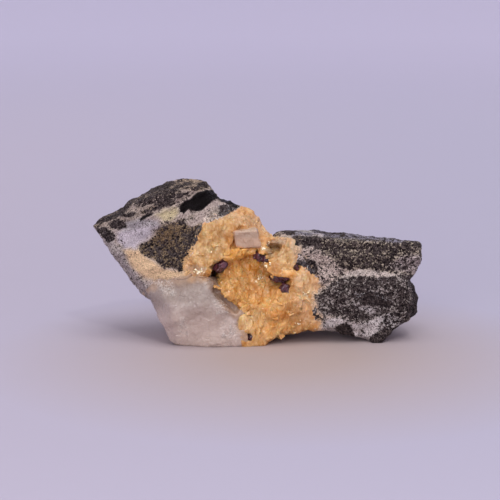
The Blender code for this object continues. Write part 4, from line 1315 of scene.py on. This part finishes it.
# %% [markdown]
# ## The cinnabar crystals
# Each of the six is a solid already, with the flat faces of a rhombohedron. Cinnabar breaks along
# three directions, so a finer net takes small steps with thin parallel lines on them. The two
# smallest are made a little thinner than their solids, because the relief would swell them.

# %% Cinnabar crystals
THINNER = -0.10
THICKER = 0.05
red = []
for index, name in enumerate(LONE[1:]):
    crystal = fine_copy(name, name + "_crystal", 0.12, 6)
    points = points_of(crystal)
    grown = THINNER if name in ("cinnabar_edge", "cinnabar_foot") else THICKER
    raise_by(crystal, grown + 0.55 * breaks(points, 1.1, 70 + index, (1.0, 1.0, 1.5), 0.15))
    dress(crystal, cinnabar)
    red.append((crystal, name, "cinnabar"))

# %% [markdown]
# ## What each piece stands for
# The solids stay in the model for its weight and its contacts. Each finished piece hides the solid that it
# was made from, and moves with the stone's one body.

# %% Name what each piece stands for
for piece, node, slot in (
    (host_left, "host_rock_left", "bedded_rock"),
    (host_right, "host_rock_right", "speckled_rock"),
    (quartz, "quartz_mass", "milky_quartz"),
    (vein, "dolomite_vein", "peach_dolomite"),
    (crust, "vug_druse", "golden_dolomite"),
    (calcite, "calcite_block", "lilac_calcite"),
    *red,
):
    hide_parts(node)
    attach(piece, "root")
    print(piece.name, "stands for", node)

# %% [markdown]
# ## Floor
# The stone lies on a pale sheet that curves up behind it, so that no horizon shows. A profile spun round the
# upright axis gives the same sheet from every side. The ground round the stone and a little in front of it is
# painted darker and warmer: a painted shadow of the stone, and painted light that the peach vein throws
# there.

# %% Floor
# The sheet's profile in metres, from the middle out.
PROFILE = [
    (0.0, 0.0), (0.9, 0.0), (1.2, 0.01), (1.45, 0.06), (1.65, 0.16), (1.78, 0.32), (1.84, 0.55),
    (1.86, 0.9),
]
LEFT_GREY = (0.44, 0.39, 0.475)
RIGHT_GREY = (0.40, 0.375, 0.48)
FAR_GREY = (0.70, 0.65, 0.80)
SHADOW_AND_BOUNCE_GREY = (0.39, 0.30, 0.27)

shape = bmesh.new()
line = [shape.verts.new((x, 0, z)) for x, z in PROFILE]
for pair in zip(line, line[1:]):
    shape.edges.new(pair)
bmesh.ops.spin(shape, geom=shape.verts[:] + shape.edges[:], cent=(0, 0, 0), axis=(0, 0, 1),
               angle=2 * math.pi, steps=96, use_merge=True)
bmesh.ops.remove_doubles(shape, verts=shape.verts, dist=0.0001)
bmesh.ops.recalc_face_normals(shape, faces=shape.faces)
for face in shape.faces:
    face.smooth = True
floor = piece_from(shape, "floor")
made, tree, shader = material("floor_paper")
where = place(tree)
across = add(tree, "SeparateXYZ", None, Vector=where).outputs[0]
far = add(tree, "VectorMath", {"operation": "LENGTH"}, n0=where).outputs["Value"]
near = add(tree, "VectorMath", {"operation": "DISTANCE"}, n0=where, n1=(0.008, -0.022, 0.0)).outputs["Value"]
color = blend_colors(tree, spread(tree, across, -0.12, 0.12), LEFT_GREY, RIGHT_GREY)
color = blend_colors(tree, spread(tree, far, 0.10, 1.3), color, FAR_GREY)
# Painted shadow and painted warm bounce light on the ground round the stone.
color = blend_colors(tree, spread(tree, near, 0.015, 0.075, 0.9, 0.0), color, SHADOW_AND_BOUNCE_GREY)
wire(tree, shader, Base_Color=color, Roughness=0.8)
floor.data.materials.append(finished(made))

# %% [markdown]
# ## Light
# A large soft light hangs above, a weaker one fills the front, and a small one gives the crystal
# faces their glints. A pale room light keeps the shadows from going black.

# %% Light
def soft_light(name, place, aim, size, power):
    """A square lamp, its side in metres and its power in watts, turned to where it should shine."""
    lamp = bpy.data.lights.new(name, "AREA")
    lamp.shape = "SQUARE"
    lamp.size = size
    lamp.energy = power
    light = bpy.data.objects.new(name, lamp)
    light.location = place
    light.rotation_euler = (Vector(aim) - Vector(place)).to_track_quat("-Z", "Y").to_euler()
    bpy.context.scene.collection.objects.link(light)
    print("the light", name, "stands", round((Vector(aim) - Vector(place)).length, 2), "m away")


soft_light("above", (0.15, -0.25, 1.40), (0, 0, 0.01), 1.00, 10.0)
soft_light("front", (-0.30, -1.2, 0.45), (0, 0, 0.015), 0.60, 6.0)
soft_light("glint", (0.12, -0.35, 0.45), (0, 0, 0.015), 0.03, 0.4)
ROOM_COLOR = (0.92, 0.92, 1.0, 1.0)
ROOM_STRENGTH = 0.62
world = bpy.data.worlds.new("room")
world.use_nodes = True
wire(world.node_tree, world.node_tree.nodes["Background"], Color=ROOM_COLOR, Strength=ROOM_STRENGTH)
bpy.context.scene.world = world
bpy.context.scene.view_settings.view_transform = "Standard"

# %% [markdown]
# ## Camera
# It looks at the broken front from ten degrees above and 38 centimetres away. A long lens keeps the
# far edges of the stone from shrinking, as they would through a short one held close.

# %% Camera
VIEW_FROM = 0.38
LENS = 109.4
SENSOR = 36.0
# What it aims at, in millimetres, and how far above it the middle of the view is.
AIM = (-1.475, -7.0, 20.0)
LIFT = 3.14

lens_data = bpy.data.cameras.new("camera")
lens_data.sensor_width = SENSOR
lens_data.lens = LENS
lens_data.clip_start = 0.01
camera = bpy.data.objects.new("camera", lens_data)
ahead = Vector((0, math.cos(TILT), -math.sin(TILT)))
upward = Vector((0, math.sin(TILT), math.cos(TILT)))
camera.location = (Vector(AIM) + upward * LIFT) * MM - ahead * VIEW_FROM
camera.rotation_euler = ahead.to_track_quat("-Z", "Y").to_euler()
bpy.context.scene.collection.objects.link(camera)
bpy.context.scene.camera = camera
print("the view is", round(VIEW_FROM * SENSOR / LENS / MM), "mm wide at the stone")
